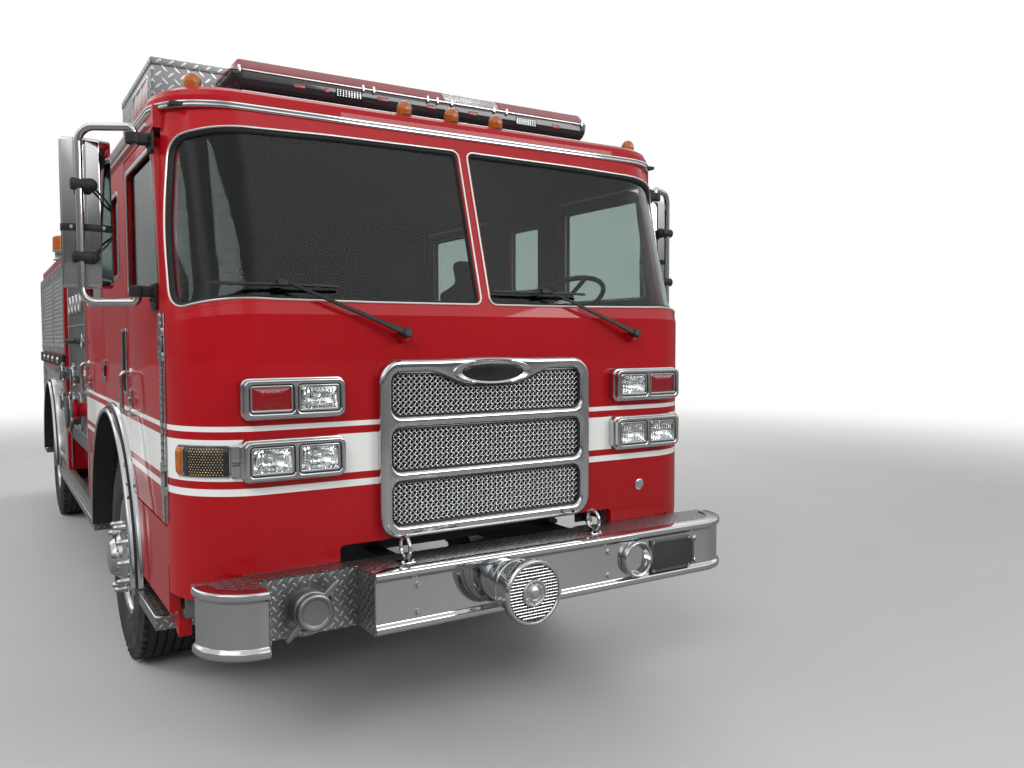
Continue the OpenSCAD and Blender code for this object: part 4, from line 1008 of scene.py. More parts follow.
def wiperShape(x0):
    # a and b lie on the leaning plane from the pivot, c stands out of it; the spine bows by a parabola
    def toSpace(a, b, c):
        return lean(xyz(x0 + a, -wiper["off"] - c, wiper["down"] + b))
    turn = math.radians(wiper["armAngle"])
    arm = np.array(wiper["arm"]) @ [[cos(turn), sin(turn)], [-sin(turn), cos(turn)]]
    a0, a1, b0 = wiper["blade"]
    along = np.linspace(a0, a1, 25)[:, None]
    bow = (along - (a0 + a1) / 2) / ((a1 - a0) / 2)
    parts = []
    for section, rise in ((wiper["spine"], -0.002 - 0.008 * bow ** 2), (wiper["rubber"], 0)):
        across, out = np.array(section).T
        parts.append(Shape().grid(toSpace(along, b0 + across, rise + out), False, True, True))
    parts += [tile(at - 0.008, at + 0.008, b0 - 0.006, b0 + 0.006, 0.002, -0.014, -0.004, 0.001, toSpace, 2, 1)
              for at in wiper["clips"]]
    return parts + [tile(-0.486, -0.446, b0 - 0.009, b0 + 0.014, 0.004, -0.004, 0.017, 0.002, toSpace, 2),
                    slab(arm, 0.006, 0.016, 0.003, toSpace, 2), slab(circle(0.02, 32), 0, 0.022, 0.006, toSpace, 4),
                    slab(circle(0.011, 24), -0.084, 0.002, 0.001, toSpace, 1)]


for side, x0 in wiper["pivots"]:
    piece("wiperBlade_" + side, wiperShape(x0), "black", "wiper_" + side, "wiper_" + side, smooth=35)

# turn lamps on the round corners: thin frame, dark perforated lamp, amber end, and a bright bracket by the headlamps
turnLamp = {"frame": (1.046, 1.276, 1.153, 1.271), "dark": (1.057, 1.233), "amber": (1.236, 1.267), "dots": (12, 11),
            "pitch": 0.0106, "firstDot": 1.078, "bracket": (0.996, 1.047),
            "section": ((0, 0.0), (0, 0.004), (0.3, 0.007), (0.7, 0.007), (1, 0.005), (1, 0.001), (0, -0.001)),
            "fold": (0.0, 0.015, 0.02, 0.02, 0.012, 0.01, 0.012, 0.02, 0.02, 0.015, 0.0)}


def turnLampShapes():
    # outlines on the nose's plan line; the dots lie on a staggered grid
    a, b, low, high = turnLamp["frame"]
    outer, inner = [np.concatenate([p + (np.roll(p, -1, 0) - p) * t for t in (0, 0.25, 0.5, 0.75)], 1).reshape(-1, 2)
        for p in (rounded(a, b, low, high, 0.02), rounded(a + 0.008, b - 0.006, low + 0.007, high - 0.007, 0.015))]
    share, height = np.array(turnLamp["section"]).T
    p = outer[:, None] + (inner - outer)[:, None] * share[:, None]
    frame = Shape().grid(onNose(p[..., 0], p[..., 1], height), True, True)
    u, v = np.meshgrid(np.linspace(-1, 1, 17), np.linspace(-1, 1, 9))
    dark, amber = [Shape().grid(onNose((x0 + x1) / 2 + u * (x1 - x0) / 2,
        (low + high) / 2 + v * ((high - low) / 2 - 0.008), top * (1 - 0.35 * u ** 8) * (1 - 0.5 * v ** 8)))
        for (x0, x1), top in ((turnLamp["dark"], 0.018), (turnLamp["amber"], 0.021))]
    columns, rows = turnLamp["dots"]
    i, j = [n.ravel() for n in np.meshgrid(np.arange(columns), np.arange(rows))]
    du = turnLamp["firstDot"] + (i + 0.5 * (j % 2)) * turnLamp["pitch"]
    dv = (low + high) / 2 + (j - (rows - 1) / 2) * turnLamp["pitch"] * 0.866
    turn = np.maximum(du - screen["roundFrom"], 0) / screen["roundR"]
    dots = scatter(turned([(0, 0.0018), (0.0018, 0.0014), (0.0028, 0)], sides=8), onNose(du, dv, 0.0172),
                   xyz(sin(turn), -cos(turn), 0))
    c, d = turnLamp["bracket"]
    u = np.linspace(c, d, 13)[:, None]
    up = np.array([low, low, low + 0.005, low + 0.044, low + 0.048, low + 0.059, high - 0.048, high - 0.044,
        high - 0.005, high, high])
    bracket = Shape().grid(onNose(u, up, np.array(turnLamp["fold"]) * (0.55 + 0.45 * ((u - c) / (d - c)))))
    return [frame, bracket], dark, amber, dots


turnFrame, turnDark, turnAmber, turnDots = turnLampShapes()
piece("turnLampFrames", bothSides(turnFrame), "chrome", smooth=35)
piece("turnLampGrids", bothSides(turnDark), "smoked")
piece("turnLampEnds", bothSides(turnAmber), "amberLens")
piece("turnLampDots", bothSides(turnDots), "emitter", weld=False)

# amber markers on the roof's brow
marker = {"places": ((-1.075, 0.395, 2.6), (-0.227, 0.31, 2.596), (0, 0.31, 2.596), (0.227, 0.31, 2.596),
                     (1.075, 0.395, 2.6)), "r": 0.032, "height": 0.069, "flutes": 18}


def shoulder(t, at, power):
    # 1 up to a height, then falling to 0 at height 1 along a squashed circle
    return np.sqrt(np.maximum(1 - (np.maximum(t - at, 0) / (1 - at)) ** power, 0))


def markerGlobe():
    # upright flutes fade out upwards, level rings fade in
    t, a = np.linspace(0, 1, 22)[:, None], np.linspace(0, 2 * pi, 73)[:-1]
    r = marker["r"] * np.where(t < 0.42, 0.93 + 0.09 * t / 0.42, 1.02 * shoulder(t, 0.42, 2.2))
    r = r * (1 + 0.022 * cos(marker["flutes"] * a) * np.clip(1.4 - 1.6 * t, 0,
        1)) * (1 - 0.012 * cos(70 * t) * (t > 0.4))
    return Shape().grid(xyz(r * cos(a), r * sin(a), marker["height"] * t), False, True, True)


piece("roofMarkers", Shape().copies(markerGlobe(), marker["places"]), "amberLens", replaces="amber_lamps", smooth=60)
piece("markerBases", [turned([(0, -0.01), (0.036, -0.01), (0.036, 0.002), (0.031, 0.006), (0, 0.006)], at, alongZ, 32)
                      for at in marker["places"]], "black")

# drip rail: a bright gutter round the front and sides of the roof
roofEdge = {"front": 0.2415, "r": 0.28, "half": 1.22, "back": 2.92, "low": 2.509,
            "profile": ((-0.012, 0), (0.006, 0), (0.011, 0.003), (0.013, 0.009), (0.0115, 0.015), (0.0095, 0.0165),
                        (0.0115, 0.018), (0.0125, 0.022), (0.011, 0.027), (0.006, 0.029), (-0.004, 0.029))}


def dripRail():
    # half of the plan, from one side's back to the middle of the front, with its outward directions; then the rest
    a, half, front, r = np.linspace(0, pi / 2, 22), roofEdge["half"], roofEdge["front"], roofEdge["r"]
    low = roofEdge["low"]
    line = np.concatenate([[(half, roofEdge["back"], low), (half, 1.6, low), (half, 0.9, low)],
        xyz(half - r + r * cos(a), front + r - r * sin(a), low), [(0.5, front, low), (0, front, low)]])
    out = np.concatenate([np.tile(alongX, (3, 1)), xyz(cos(a), -sin(a), 0), np.tile(ahead, (2, 1))])
    line, out = [np.concatenate([p, p[-2::-1] * (-1, 1, 1)]) for p in (line, out)]
    return carry(line, out, alongZ, roofEdge["profile"])


piece("dripRail", dripRail(), "chrome", replaces="bright_rails", slot="polished_aluminium")

# light bar: peaked red lens with one clear length, smoked lower half with small lamps, bright sill and feet
lightBar = {"lens": ((0.5, 2.748), (0.503, 2.755), (0.543, 2.798), (0.557, 2.804), (0.743, 2.804), (0.757, 2.798),
    (0.797, 2.755), (0.8, 2.748), (0.792, 2.745), (0.508, 2.745)),
    "smoke": ((0.7965, 2.7445), (0.7965, 2.712), (0.792, 2.69), (0.783, 2.677), (0.77, 2.67), (0.53, 2.67),
    (0.517, 2.677), (0.508, 2.69), (0.5035, 2.712), (0.5035, 2.7445)),
    "lip": ((0.506, 2.7495), (0.506, 2.7415), (0.5005, 2.7415), (0.4985, 2.7435), (0.4985, 2.7475), (0.5005, 2.7495)),
    "sill": ((0.783, 2.669), (0.787, 2.666), (0.787, 2.661), (0.78, 2.659), (0.78, 2.654), (0.77, 2.65), (0.53, 2.65),
    (0.52, 2.654), (0.52, 2.659), (0.513, 2.661), (0.513, 2.666), (0.517, 2.669)),
    "lengths": ((-0.9, 0.068, 0), (0.072, 0.366, 1), (0.37, 0.9, 0)),
    "modules": ((-0.62, 0.05, 0), (-0.5, 0.022, 0), (-0.4, 0.12, 1), (-0.24, 0.055, 0), (-0.12, 0.022, 0),
    (0.0, 0.05, 0), (0.13, 0.022, 0), (0.22, 0.05, 0), (0.52, 0.12, 1), (0.7, 0.05, 0)),
    "clips": (-0.87, -0.335, -0.285, -0.02, 0.03, 0.105, 0.335, 0.405, 0.86), "middle": 0.65}


def barLength(part, x0, x1, keep):
    # the section carried along X; at the bar's ends its height from keep and its depth shrink along a curve
    section = np.array(lightBar[part])
    depth, height = bend(np.concatenate([section, section[:1]]), min(0.004, np.ptp(section[:, 0]) / 8), 3)[:-1].T
    ends = (1 - cos(np.linspace(0, pi / 2, 7))) * 0.05
    x = np.unique(np.concatenate([np.linspace(x0, x1, 12), x0 + ends, x1 - ends]))[:, None]
    t = np.clip((np.abs(x) - 0.862) / 0.038, 0, 1)
    tall = np.where(x < 0, 1 - 0.8 * t, np.sqrt(1 - 0.93 * t ** 2))
    deep = np.where(x < 0, 1 - 0.12 * t, np.sqrt(1 - 0.25 * t ** 2))
    mid = lightBar["middle"]
    return Shape().grid(xyz(x, mid + (depth - mid) * deep, keep + (height - keep) * tall), False, True, True)


def barModules():
    # lamp blocks behind the smoked lens, the wide ones covered with small dots
    dot = turned([(0, 0.0012), (0.0022, 0.0008), (0.0026, 0)], sides=6)
    parts = []
    for at, wide, kind in lightBar["modules"]:
        low, high = ((2.703, 2.723), (2.694, 2.732))[kind]
        face = 0.5015 if kind else 0.5015 + 0.0008
        parts.append(dressed(brick(at - wide / 2, at + wide / 2, face, 0.512, low, high, 0.0015), kind))
        if kind:
            dots = [(at - wide / 2 + 0.008 + 0.013 * i, 0.5018, 2.701 + 0.008 * j) for i in range(9)
                for j in range(4)]
            parts.append(dressed(scatter(dot, dots, ahead), 2))
    return parts


piece("lightBarLens", [dressed(barLength("lens", a, b, 2.745), k) for a, b, k in lightBar["lengths"]],
      ["redLens", "clearLens"], replaces="red_lenses", smooth=35)
piece("lightBarSmoke", barLength("smoke", -0.897, 0.897, 2.745), "smoked", replaces="light_bar", smooth=35)
piece("lightBarSill", [barLength("sill", -0.855, 0.855, 2.669), barLength("lip", -0.89, 0.89, 2.7445),
    [brick(x - 0.06, x + 0.06, 0.53, 0.77, 2.604, 2.656, 0.006) for x in (-0.62, 0.62)]], "satin", smooth=35)
piece("lightBarLamps", barModules(), ["redLens", "gloss", "mirror"], smooth=30)
piece("lightBarClips", [brick(x - 0.006, x + 0.006, 0.4965, 0.506, 2.728, 2.762, 0.002) for x in lightBar["clips"]],
    "chrome")

# roof box: folded treadplate with an overlapping lid, and a lamp let into its outer side
roofBox = {"x": (-1.15, -0.5), "y": (0.84, 1.69), "low": 2.598, "top": 2.842, "lid": 0.032, "inset": 0.003}
(x0, x1), (y0, y1), top, s = roofBox["x"], roofBox["y"], roofBox["top"], roofBox["inset"]
piece("roofBoxPlate", [tile(x0 + s, x1 - s, y0 + s, y1 - s, 0.008, roofBox["low"], top - 0.004, 0.004, onTop, 4),
                       tile(x0, x1, y0, y1, 0.01, top - roofBox["lid"], top, 0.003, onTop, 4)],
      "treadWide", replaces="roof_box", smooth=30)
piece("roofBoxLampFrame", cutPlate([rounded(0.93, 1.36, 2.65, 2.79, 0.016, 4),
    rounded(0.945, 1.345, 2.664, 2.776, 0.01, 4)], -1.1495, -1.1385, 0.003, onSide, 2), "chrome", smooth=35)
piece("roofBoxLampCells", [tile(a + 0.003, a + 0.13, 2.666, 2.774, 0.006, -1.1485, -1.1425, 0.0015, onSide)
                           for a in (0.945, 1.078, 1.211)], "redLens", smooth=35)
print("windshield, wipers, roof lamps and light bar made")

# doors: bevelled skins with rounded windows, bright window trim, hinges, grab bars and lining
door = {"outer": 1.22, "inner": 1.18, "glass": (1.196, 1.204), "archY": 1.7, "archZ": 0.53, "archR": 0.83,
        "front": {"corners": ((0.305, 0.95), (0.305, 1.76), (0.405, 2.44), (1.16, 2.44)), "radii": (0, 0, 0.15, 0.03),
                  "arc": (130.6, 149.6), "window": ((0.353, 1.85), (0.453, 2.392), (1.118, 2.392), (1.118, 1.85)),
                  "hinges": (1.1, 1.6), "hingeY": 0.301, "bar": 1.11, "lock": (1.125, 1.395)},
        "crew": {"corners": ((2.02, 2.44), (2.9, 2.44), (2.9, 0.95)), "radii": (0, 0.03, 0.03),
                 "arc": (30.4, 67.3), "window": ((2.105, 1.85), (2.105, 2.392), (2.835, 2.392), (2.835, 1.85)),
                 "hinges": (1.45, 2.25), "hingeY": 2.016, "bar": 2.85, "lock": (2.8, 1.395)}}


def doorOutline(d):
    # the straight edges, then the arc over the wheel
    a = np.radians(np.linspace(*d["arc"], 14))
    arc = xyz(door["archY"] + door["archR"] * cos(a), door["archZ"] + door["archR"] * sin(a))
    pts = np.concatenate([d["corners"], arc])
    return bend(np.concatenate([pts, pts[:1]]), np.concatenate([d["radii"], np.zeros(15)]).clip(1e-4), 5)[:-1]


def hingeBarrel(y, low, high, r=0.0088):
    # a turned barrel with a bead at each end, and its leaf on the door
    barrel = turned(bend([(0, low), (r * 0.8, low), (r, low + 0.002), (r, high - 0.002), (r * 0.8, high), (0, high)],
        0.0008, 2), (1.23, y, 0), alongZ, 24)
    return gather(barrel, brick(1.2195, 1.2235, y + 0.006, y + 0.038, low, high, 0.0015))


def grabBar(y, low=1.31, high=1.51):
    # a bar bent into the door at both ends, on two oval feet
    path = bend([(1.22, y, low + 0.01), (1.2605, y, low + 0.01), (1.2605, y, high - 0.01), (1.22, y, high - 0.01)],
        0.018, 6)
    feet = [turned([(0.021, 0), (0.019, 0.005), (0.011, 0.007), (0, 0.007)], (1.22, y, z), alongX, 24)
            for z in (low + 0.01, high - 0.01)]
    return gather(tube(path, 0.01, 14), *feet)


def doorSet(d):
    # shapes of one door on the +X side: skin, bright parts, dark parts, lining and glass
    outline, window = doorOutline(d), roundedLoop(d["window"], 0.035)
    skin = cutPlate([outline, window], door["inner"] + 0.004, door["outer"], 0.003, onSide, 2)
    lining = cutPlate([outline + outward(outline) * 0.02, window], door["inner"] - 0.002, door["inner"] + 0.0045,
                      0.002, onSide, 1)
    trim = trimRound(window, [(-0.003, 1.213), (-0.003, 1.2215), (0.001, 1.2235), (0.015, 1.2228), (0.018, 1.2195)],
        onSide)
    y, z = d["lock"]
    lock = gather(tile(y - 0.024, y + 0.024, z - 0.055, z + 0.04, 0.012, 1.219, 1.2225, 0.0012, onSide, 4),
        tile(y - 0.017, y + 0.017, z - 0.048, z - 0.006, 0.008, 1.2225, 1.233, 0.004, onSide, 4, 3),
        turned([(0, 0.0055), (0.0095, 0.0055), (0.011, 0.004), (0.011, 0)], (1.222, y, z + 0.018), alongX, 20))
    bright = gather(trim, lock, grabBar(d["bar"]), *[hingeBarrel(d["hingeY"], h, h + 0.06) for h in d["hinges"]])
    seal = trimRound(window, [(-0.016, 1.2035), (-0.016, 1.2085), (-0.002, 1.2125), (0.0, 1.2035)], onSide)
    inside = trimRound(window, [(-0.01, 1.1925), (-0.01, 1.1955), (0.004, 1.1955), (0.004, 1.179), (-0.006, 1.179)],
        onSide)
    glass = pane(window + outward(window) * 0.004, *door["glass"], onSide, 3)
    return skin, bright, gather(seal, inside), lining, glass


def mirrorMount():
    # two dark brackets: a bolted foot, a neck and a round knuckle with a bore's cap at top and bottom
    parts = []
    for z, deep in ((1.83, 0.05), (2.4, 0.026)):
        parts.append(tile(0.375, 0.47, z - deep - 0.02, z + 0.032, 0.01, 1.2205, 1.232, 0.004, onSide, 4))
        parts.append(tile(0.392, 0.448, z - 0.02, z + 0.02, 0.008, 1.23, 1.27, 0.004, onSide))
        parts.append(turned(bend([(0.0165, z - 0.02), (0.028, z - 0.02), (0.03, z - 0.016), (0.03, z + 0.016),
            (0.028, z + 0.02), (0.0165, z + 0.02), (0.0165, z - 0.02)], 0.001, 2), (1.285, 0.42, 0), alongZ, 32))
        parts.append(bolts(0.006, 0.005, [(1.232, y, z - deep * 0.6 + s * 0.02) for y in (0.383, 0.462)
            for s in (0, 1)], alongX))
    return gather(*parts)


for kind in ("front", "crew"):
    skin, bright, dark, lining, glass = doorSet(door[kind])
    if kind == "front":
        dark = gather(dark, mirrorMount())
    body = kind + "_door"
    eachSide((kind + "DoorSkin", skin, "redStriped", body, body, 30),
        (kind + "DoorBright", bright, "chrome", body, None, 35), (kind + "DoorSeals", dark, "black", body, None, 35),
        (kind + "DoorLining", lining, "trim", body, None, 30),
        (kind + "DoorGlass", glass, "glass", body, kind + "_glass", 40))

# mirrors: bent bright tube in two knuckles, black ball clamps, tall bowed chrome head with a strap and two struts
mirror = {"pivot": (1.285, 0.42), "tube": (1.463, 0.52), "low": 1.788, "high": 2.442, "r": 0.0152,
    "clamps": (1.96, 2.23), "head": (1.433, 0.58), "headZ": (1.845, 2.415), "strap": 2.075,
    "plan": ((-0.078, 0.038), (-0.09, 0.018), (-0.084, 0.002), (-0.045, -0.014), (0, -0.0195), (0.045, -0.014),
    (0.084, 0.002), (0.09, 0.018), (0.078, 0.038))}


def mirrorShapes():
    (px, py), (tx, ty), low, high = mirror["pivot"], mirror["tube"], mirror["low"], mirror["high"]
    arm = tube(bend([(px, py, high - 0.064), (px, py, high), (tx, ty, high), (tx, ty, low), (px, py, low),
        (px, py, low + 0.064)], [0, 0.02, 0.058, 0.058, 0.02, 0], 9), mirror["r"], 16)
    cx, cy = mirror["head"]
    plan = roundedLoop(np.array(mirror["plan"]) + (cx, cy), 0.008, 3)
    shell = slab(plan, *mirror["headZ"], 0.014, onTop, 5)
    glass = tile(cx - 0.07, cx + 0.07, mirror["headZ"][0] + 0.02, mirror["headZ"][1] - 0.02, 0.012, -0.6205, -0.617,
        0.001, onFront, 4, 1)
    band = slab(plan + outward(plan) * 0.0025, mirror["strap"] - 0.014, mirror["strap"] + 0.014, 0.002, onTop, 2)
    dark = [band]
    for z in mirror["clamps"]:
        dark.append(turned(bend([(0, -0.04), (0.021, -0.04), (0.023, -0.037), (0.023, 0.026), (0.019, 0.03),
            (0, 0.03)], 0.002, 2), (tx, ty, z), alongX, 28))
        t = np.linspace(0, pi, 13)
        dark.append(turned(xyz(0.027 * sin(t), 0.027 * cos(t)), (tx - 0.038, ty + 0.01, z), alongY, 24))
        dark.append(tube([(tx - 0.038, ty + 0.02, z), (tx - 0.034, ty + 0.06, z)], 0.014, 14))
        s = 0.085 if z < 2.1 else -0.085
        dark.append(tube(bend([(tx - 0.045, ty + 0.022, z), (tx - 0.095, ty + 0.03, z + s * 0.6),
            (tx - 0.118, ty + 0.062, z + s)], 0.02, 4), 0.0042, 8))
    studs = bolts(0.005, 0.004, [(cx + s, cy - 0.013, mirror["strap"]) for s in (-0.055, 0.055)], ahead)
    return arm, shell, glass, gather(*dark), studs


arm, shell, mirrorGlass, dark, studs = mirrorShapes()
eachSide(("mirrorTube", [arm, studs], "chrome", "mirror", "mirror", 40),
    ("mirrorHead", shell, "chrome", "mirror", None, 35), ("mirrorGlass", mirrorGlass, "mirror", "mirror", None, 40),
    ("mirrorClamps", dark, "black", "mirror", None, 35))

# cab sides: piano hinge, rear edge strip, middle window, vent, gutter, crowns over the wheels
cabSide = {"hinge": (1.23, 0.301, 0.965, 1.745),
    "window": ((1.375, 1.948), (1.375, 2.35), (1.72, 2.35), (1.72, 1.948)), "vent": (1.205, 1.345, 1.395, 1.7),
    "gutter": (0.47, 2.97, 2.47), "hinges": ((0.301, (1.1, 1.6)), (2.016, (1.45, 2.25)))}


def pianoHinge():
    # knuckles 28 mm long in a row, as a radius that drops at each joint
    x, y, low, high = cabSide["hinge"]
    z = np.linspace(low, high, 28 * 4 + 1)
    knuckle = (np.arange(len(z)) % 4 == 0)
    line = xyz(np.where(knuckle, 0.0048, 0.0064), z)
    return gather(turned(np.concatenate([[(0, low)], line, [(0, high)]]), (x, y, 0), alongZ, 10),
                  brick(1.2198, 1.2222, y - 0.03, y - 0.004, low, high, 0.0008))


def hingeSleeve(y, z):
    # a bright sleeve and leaf over the hinge's upper or lower end
    return gather(turned([(0, 0), (0.0099, 0), (0.0099, 0.0312), (0, 0.0312)], (1.23, y, z - 0.0006), alongZ, 20),
                  brick(1.219, 1.2309, y - 0.0248, y, z - 0.0006, z + 0.0306, 0.001))


def ventGrid():
    # a frame, a dark back plate, and hexagon holes shown as rows of raised rings
    y0, y1, low, high = cabSide["vent"]
    frame = cutPlate([rounded(y0, y1, low, high, 0.014, 4),
        rounded(y0 + 0.014, y1 - 0.014, low + 0.014, high - 0.014, 0.008, 4)], 1.2195, 1.2255, 0.002, onSide, 2)
    i, j = np.meshgrid(np.arange(9), np.arange(25))
    y = y0 + 0.02 + (i + 0.5 * (j % 2)).ravel() * 0.0118
    z = low + 0.02 + j.ravel() * 0.011
    ring = turned([(0.0036, 0), (0.0036, 0.0014), (0.0052, 0.0014), (0.0052, 0)], sides=6)
    return frame, scatter(ring, xyz(1.2215, y, z), alongX), \
        tile(y0 + 0.01, y1 - 0.01, low + 0.01, high - 0.01, 0.008, 1.2195, 1.2218, 0.0008, onSide, 3, 1)


def crown(y, r0):
    # the moulding's profile (radius, X) swept over the wheel, down to the steps on both sides
    start = math.asin((0.562 - 0.53) / (r0 + 0.02))
    a = np.linspace(start, pi - start, 64)
    out = []
    for prof in (((0, 1.2205), (-0.003, 1.245), (0.000, 1.262), (0.006, 1.268), (0.016, 1.267), (0.0215, 1.26),
            (0.0225, 1.2205)), ((0.0295, 1.2205), (0.0295, 1.236), (0.033, 1.242), (0.041, 1.24), (0.048, 1.233),
            (0.05, 1.2205)), ((0.0215, 1.2205), (0.0215, 1.25), (0.0305, 1.25), (0.0305, 1.2205))):
        prof = bend(np.array(prof), 0.0015, 2)
        r = r0 + prof[None, :, 0]
        p = xyz(prof[None, :, 1], y + r * cos(a)[:, None], 0.53 + r * sin(a)[:, None])
        out.append(Shape().grid(p, False, True, True))
    return out


ventFrame, ventRings, ventBack = ventGrid()
midWindow = roundedLoop(cabSide["window"], 0.03)
midTrim = trimRound(midWindow, [(-0.004, 1.213), (-0.004, 1.2215), (0.0, 1.2235), (0.012, 1.2228), (0.015, 1.2195)],
    onSide)
y0, y1, gz = cabSide["gutter"]
gutter = carry(bend([(1.2198, y0, gz - 0.004), (1.2198, y0 + 0.03, gz + 0.004), (1.2198, y1, gz + 0.004)], 0.02, 4),
    alongX, alongZ, np.array([(0, -0.006), (0.012, -0.006), (0.014, -0.003), (0.014, 0.007), (0.012, 0.007),
    (0.011, -0.002), (0, -0.001)]))
rearStrip = brick(1.2198, 1.2232, 2.986, 3.018, 0.66, 2.525, 0.001)
crowns = [crown(1.7, 0.75), crown(6.000, 0.72)]
sleeves = [hingeSleeve(y, z + dz) for y, tops in cabSide["hinges"] for z in tops for dz in (-0.0305, 0.0605)]
piece("pianoHinges", bothSides(pianoHinge(), *sleeves), "polished", smooth=30)
piece("cabSideTrim", bothSides(midTrim, gutter, rearStrip, ventFrame), "chrome", smooth=30)
piece("cabVents", bothSides(ventRings, ventBack), "black", smooth=30, weld=False)
piece("midGlass", bothSides(pane(midWindow + outward(midWindow) * 0.004, 1.196, 1.204, onSide, 3)), "glass",
    replaces="side_windows")
piece("wheelCrowns", bothSides(*[c for pair in crowns for c in pair[:2]]), "chrome",
      replaces="fenders", smooth=35)
piece("crownGrooves", bothSides(*[pair[2] for pair in crowns]), "black")
print("doors, mirrors and cab sides made")


# wheels: grooved tyres with shoulder lugs, bright nut covers and hub covers
wheel = {"z": 0.53, "frontY": 1.7, "rearY": 6.000, "front": 1.045, "outer": 1.055, "inner": 0.71, "nuts": 10,
    "nutCircle": 0.168, "lugs": 56, "grooves": (-0.063, -0.021, 0.021, 0.063)}


def tyreShape(x, y):
    # section (radius, offset along the axle) with grooves, turned; then lugs turned about the axle to each place
    side = [(0.286, -0.088), (0.3, -0.129), (0.318, -0.14), (0.326, -0.1435), (0.334, -0.14), (0.352, -0.1455),
        (0.385, -0.149), (0.43, -0.1485), (0.462, -0.143), (0.47, -0.146), (0.478, -0.1405), (0.5, -0.133),
        (0.513, -0.129), (0.514, -0.105), (0.5255, -0.1035)]
    crest = []
    for g in wheel["grooves"]:
        crest += [(0.5275, g - 0.0062), (0.515, g - 0.0045), (0.515, g + 0.0045), (0.5275, g + 0.0062)]
    section = np.array(side + crest + [(r, -h) for r, h in side[::-1]])
    body = turned(np.concatenate([section, [(0.286, -0.088)]]), (x, y, wheel["z"]), alongX, 96)
    lug = slab(rounded(-0.0125, 0.0125, -0.016, 0.016, 0.004, 2), 0.508, 0.529, 0.0025, lambda a, b, h: xyz(b, a, h),
        1)
    a = np.arange(wheel["lugs"]) * 2 * pi / wheel["lugs"]
    turns = np.stack([np.stack([1 + 0 * a, 0 * a, 0 * a], 1), np.stack([0 * a, cos(a), sin(a)], 1),
        np.stack([0 * a, -sin(a), cos(a)], 1)], 1)
    out = [body]
    for s in (-1, 1):
        spot = Shape().copies(lug, np.zeros((len(a), 3)), turns)
        spot.points = [p + (x + s * 0.1185, y, wheel["z"]) for p in spot.points]
        out.append(spot)
    return gather(*out)


def nutCovers(x, y, long=1.0):
    # bullet covers on the nut circle
    a = np.arange(wheel["nuts"]) * 2 * pi / wheel["nuts"]
    one = turned([(0.0175, 0), (0.0175, 0.006), (0.015, 0.009), (0.0145, 0.034), (0.011, 0.044), (0.005, 0.049),
        (0, 0.05)], sides=14)
    one.points = [p * (1, 1, long) for p in one.points]
    places = xyz(x, y + wheel["nutCircle"] * cos(a), wheel["z"] + wheel["nutCircle"] * sin(a))
    return scatter(one, places, alongX)


def hubCover(x, y, r=0.106, depth=0.08):
    # a drum with a rolled edge and a domed end
    prof = bend([(r + 0.01, 0), (r + 0.01, 0.006), (r, 0.01), (r - 0.003, depth * 0.72), (r * 0.8, depth * 0.93),
        (r * 0.3, depth), (0, depth)], 0.003, 3)
    return turned(prof, (x, y, wheel["z"]), alongX, 48)


front, back = wheel["frontY"], wheel["rearY"]
frontCovers = [nutCovers(1.186, front, 1.3), hubCover(1.16, front, 0.1, 0.11)]
rearCovers = [nutCovers(1.036, back), hubCover(1.09, back, 0.112, 0.105)]
eachSide(("frontTyre", tyreShape(wheel["front"], front), "rubber", "front_wheel", "front_tyre", 35),
         ("frontNutCovers", frontCovers, "chrome", "front_wheel", None, 35),
         ("rearTyres", [tyreShape(wheel["outer"], back), tyreShape(wheel["inner"], back)], "rubber", "rear_wheels",
          "rear_tyres", 35),
         ("rearNutCovers", rearCovers, "chrome", "rear_wheels", None, 35))

# pump panel: gauges, capped outlets, a large capped inlet and pull rods, on both sides
pump = {"x": 1.19, "front": 3.062, "back": 4.498, "outlets": ((3.32, 1.18), (3.32, 1.4), (4.22, 1.18), (4.22, 1.4)),
    "inlet": (3.78, 1.13), "gauges": (3.42, 3.66, 3.9, 4.14), "gaugeZ": 1.9, "rods": (3.46, 3.62, 3.78, 3.94, 4.1),
    "rodZ": 1.64}


def capShape(y, z, r, reach, lugs):
    # pipe, domed cap with a rim and lugs round it
    x = pump["x"]
    prof = bend([(r * 1.25, 0), (r * 1.25, 0.008), (r * 0.8, 0.012), (r * 0.8, reach), (r * 1.02, reach + 0.003),
        (r * 1.04, reach + 0.028), (r * 0.9, reach + 0.033), (r * 0.55, reach + 0.036), (0, reach + 0.04)], 0.003, 3)
    parts = [turned(prof, (x, y, z), alongX, 40)]
    lug = tile(-r * 0.16, r * 0.16, r * 0.85, r * 1.38, r * 0.12, reach + 0.004, reach + 0.026, 0.003, onTop)
    a = np.arange(lugs) * 2 * pi / lugs + 0.35
    turns = np.stack([np.stack([0 * a, 0 * a, 1 + 0 * a], 1), np.stack([cos(a), -sin(a), 0 * a], 1),
        np.stack([sin(a), cos(a), 0 * a], 1)], 1)
    parts.append(Shape().copies(lug, np.tile((x, y, z), (lugs, 1)), turns))
    parts.append(bolts(0.007, 0.006, [(x + 0.008, y + r * 1.12 * cos(t), z + r * 1.12 * sin(t))
        for t in np.arange(8) * pi / 4], alongX))
    return gather(*parts)


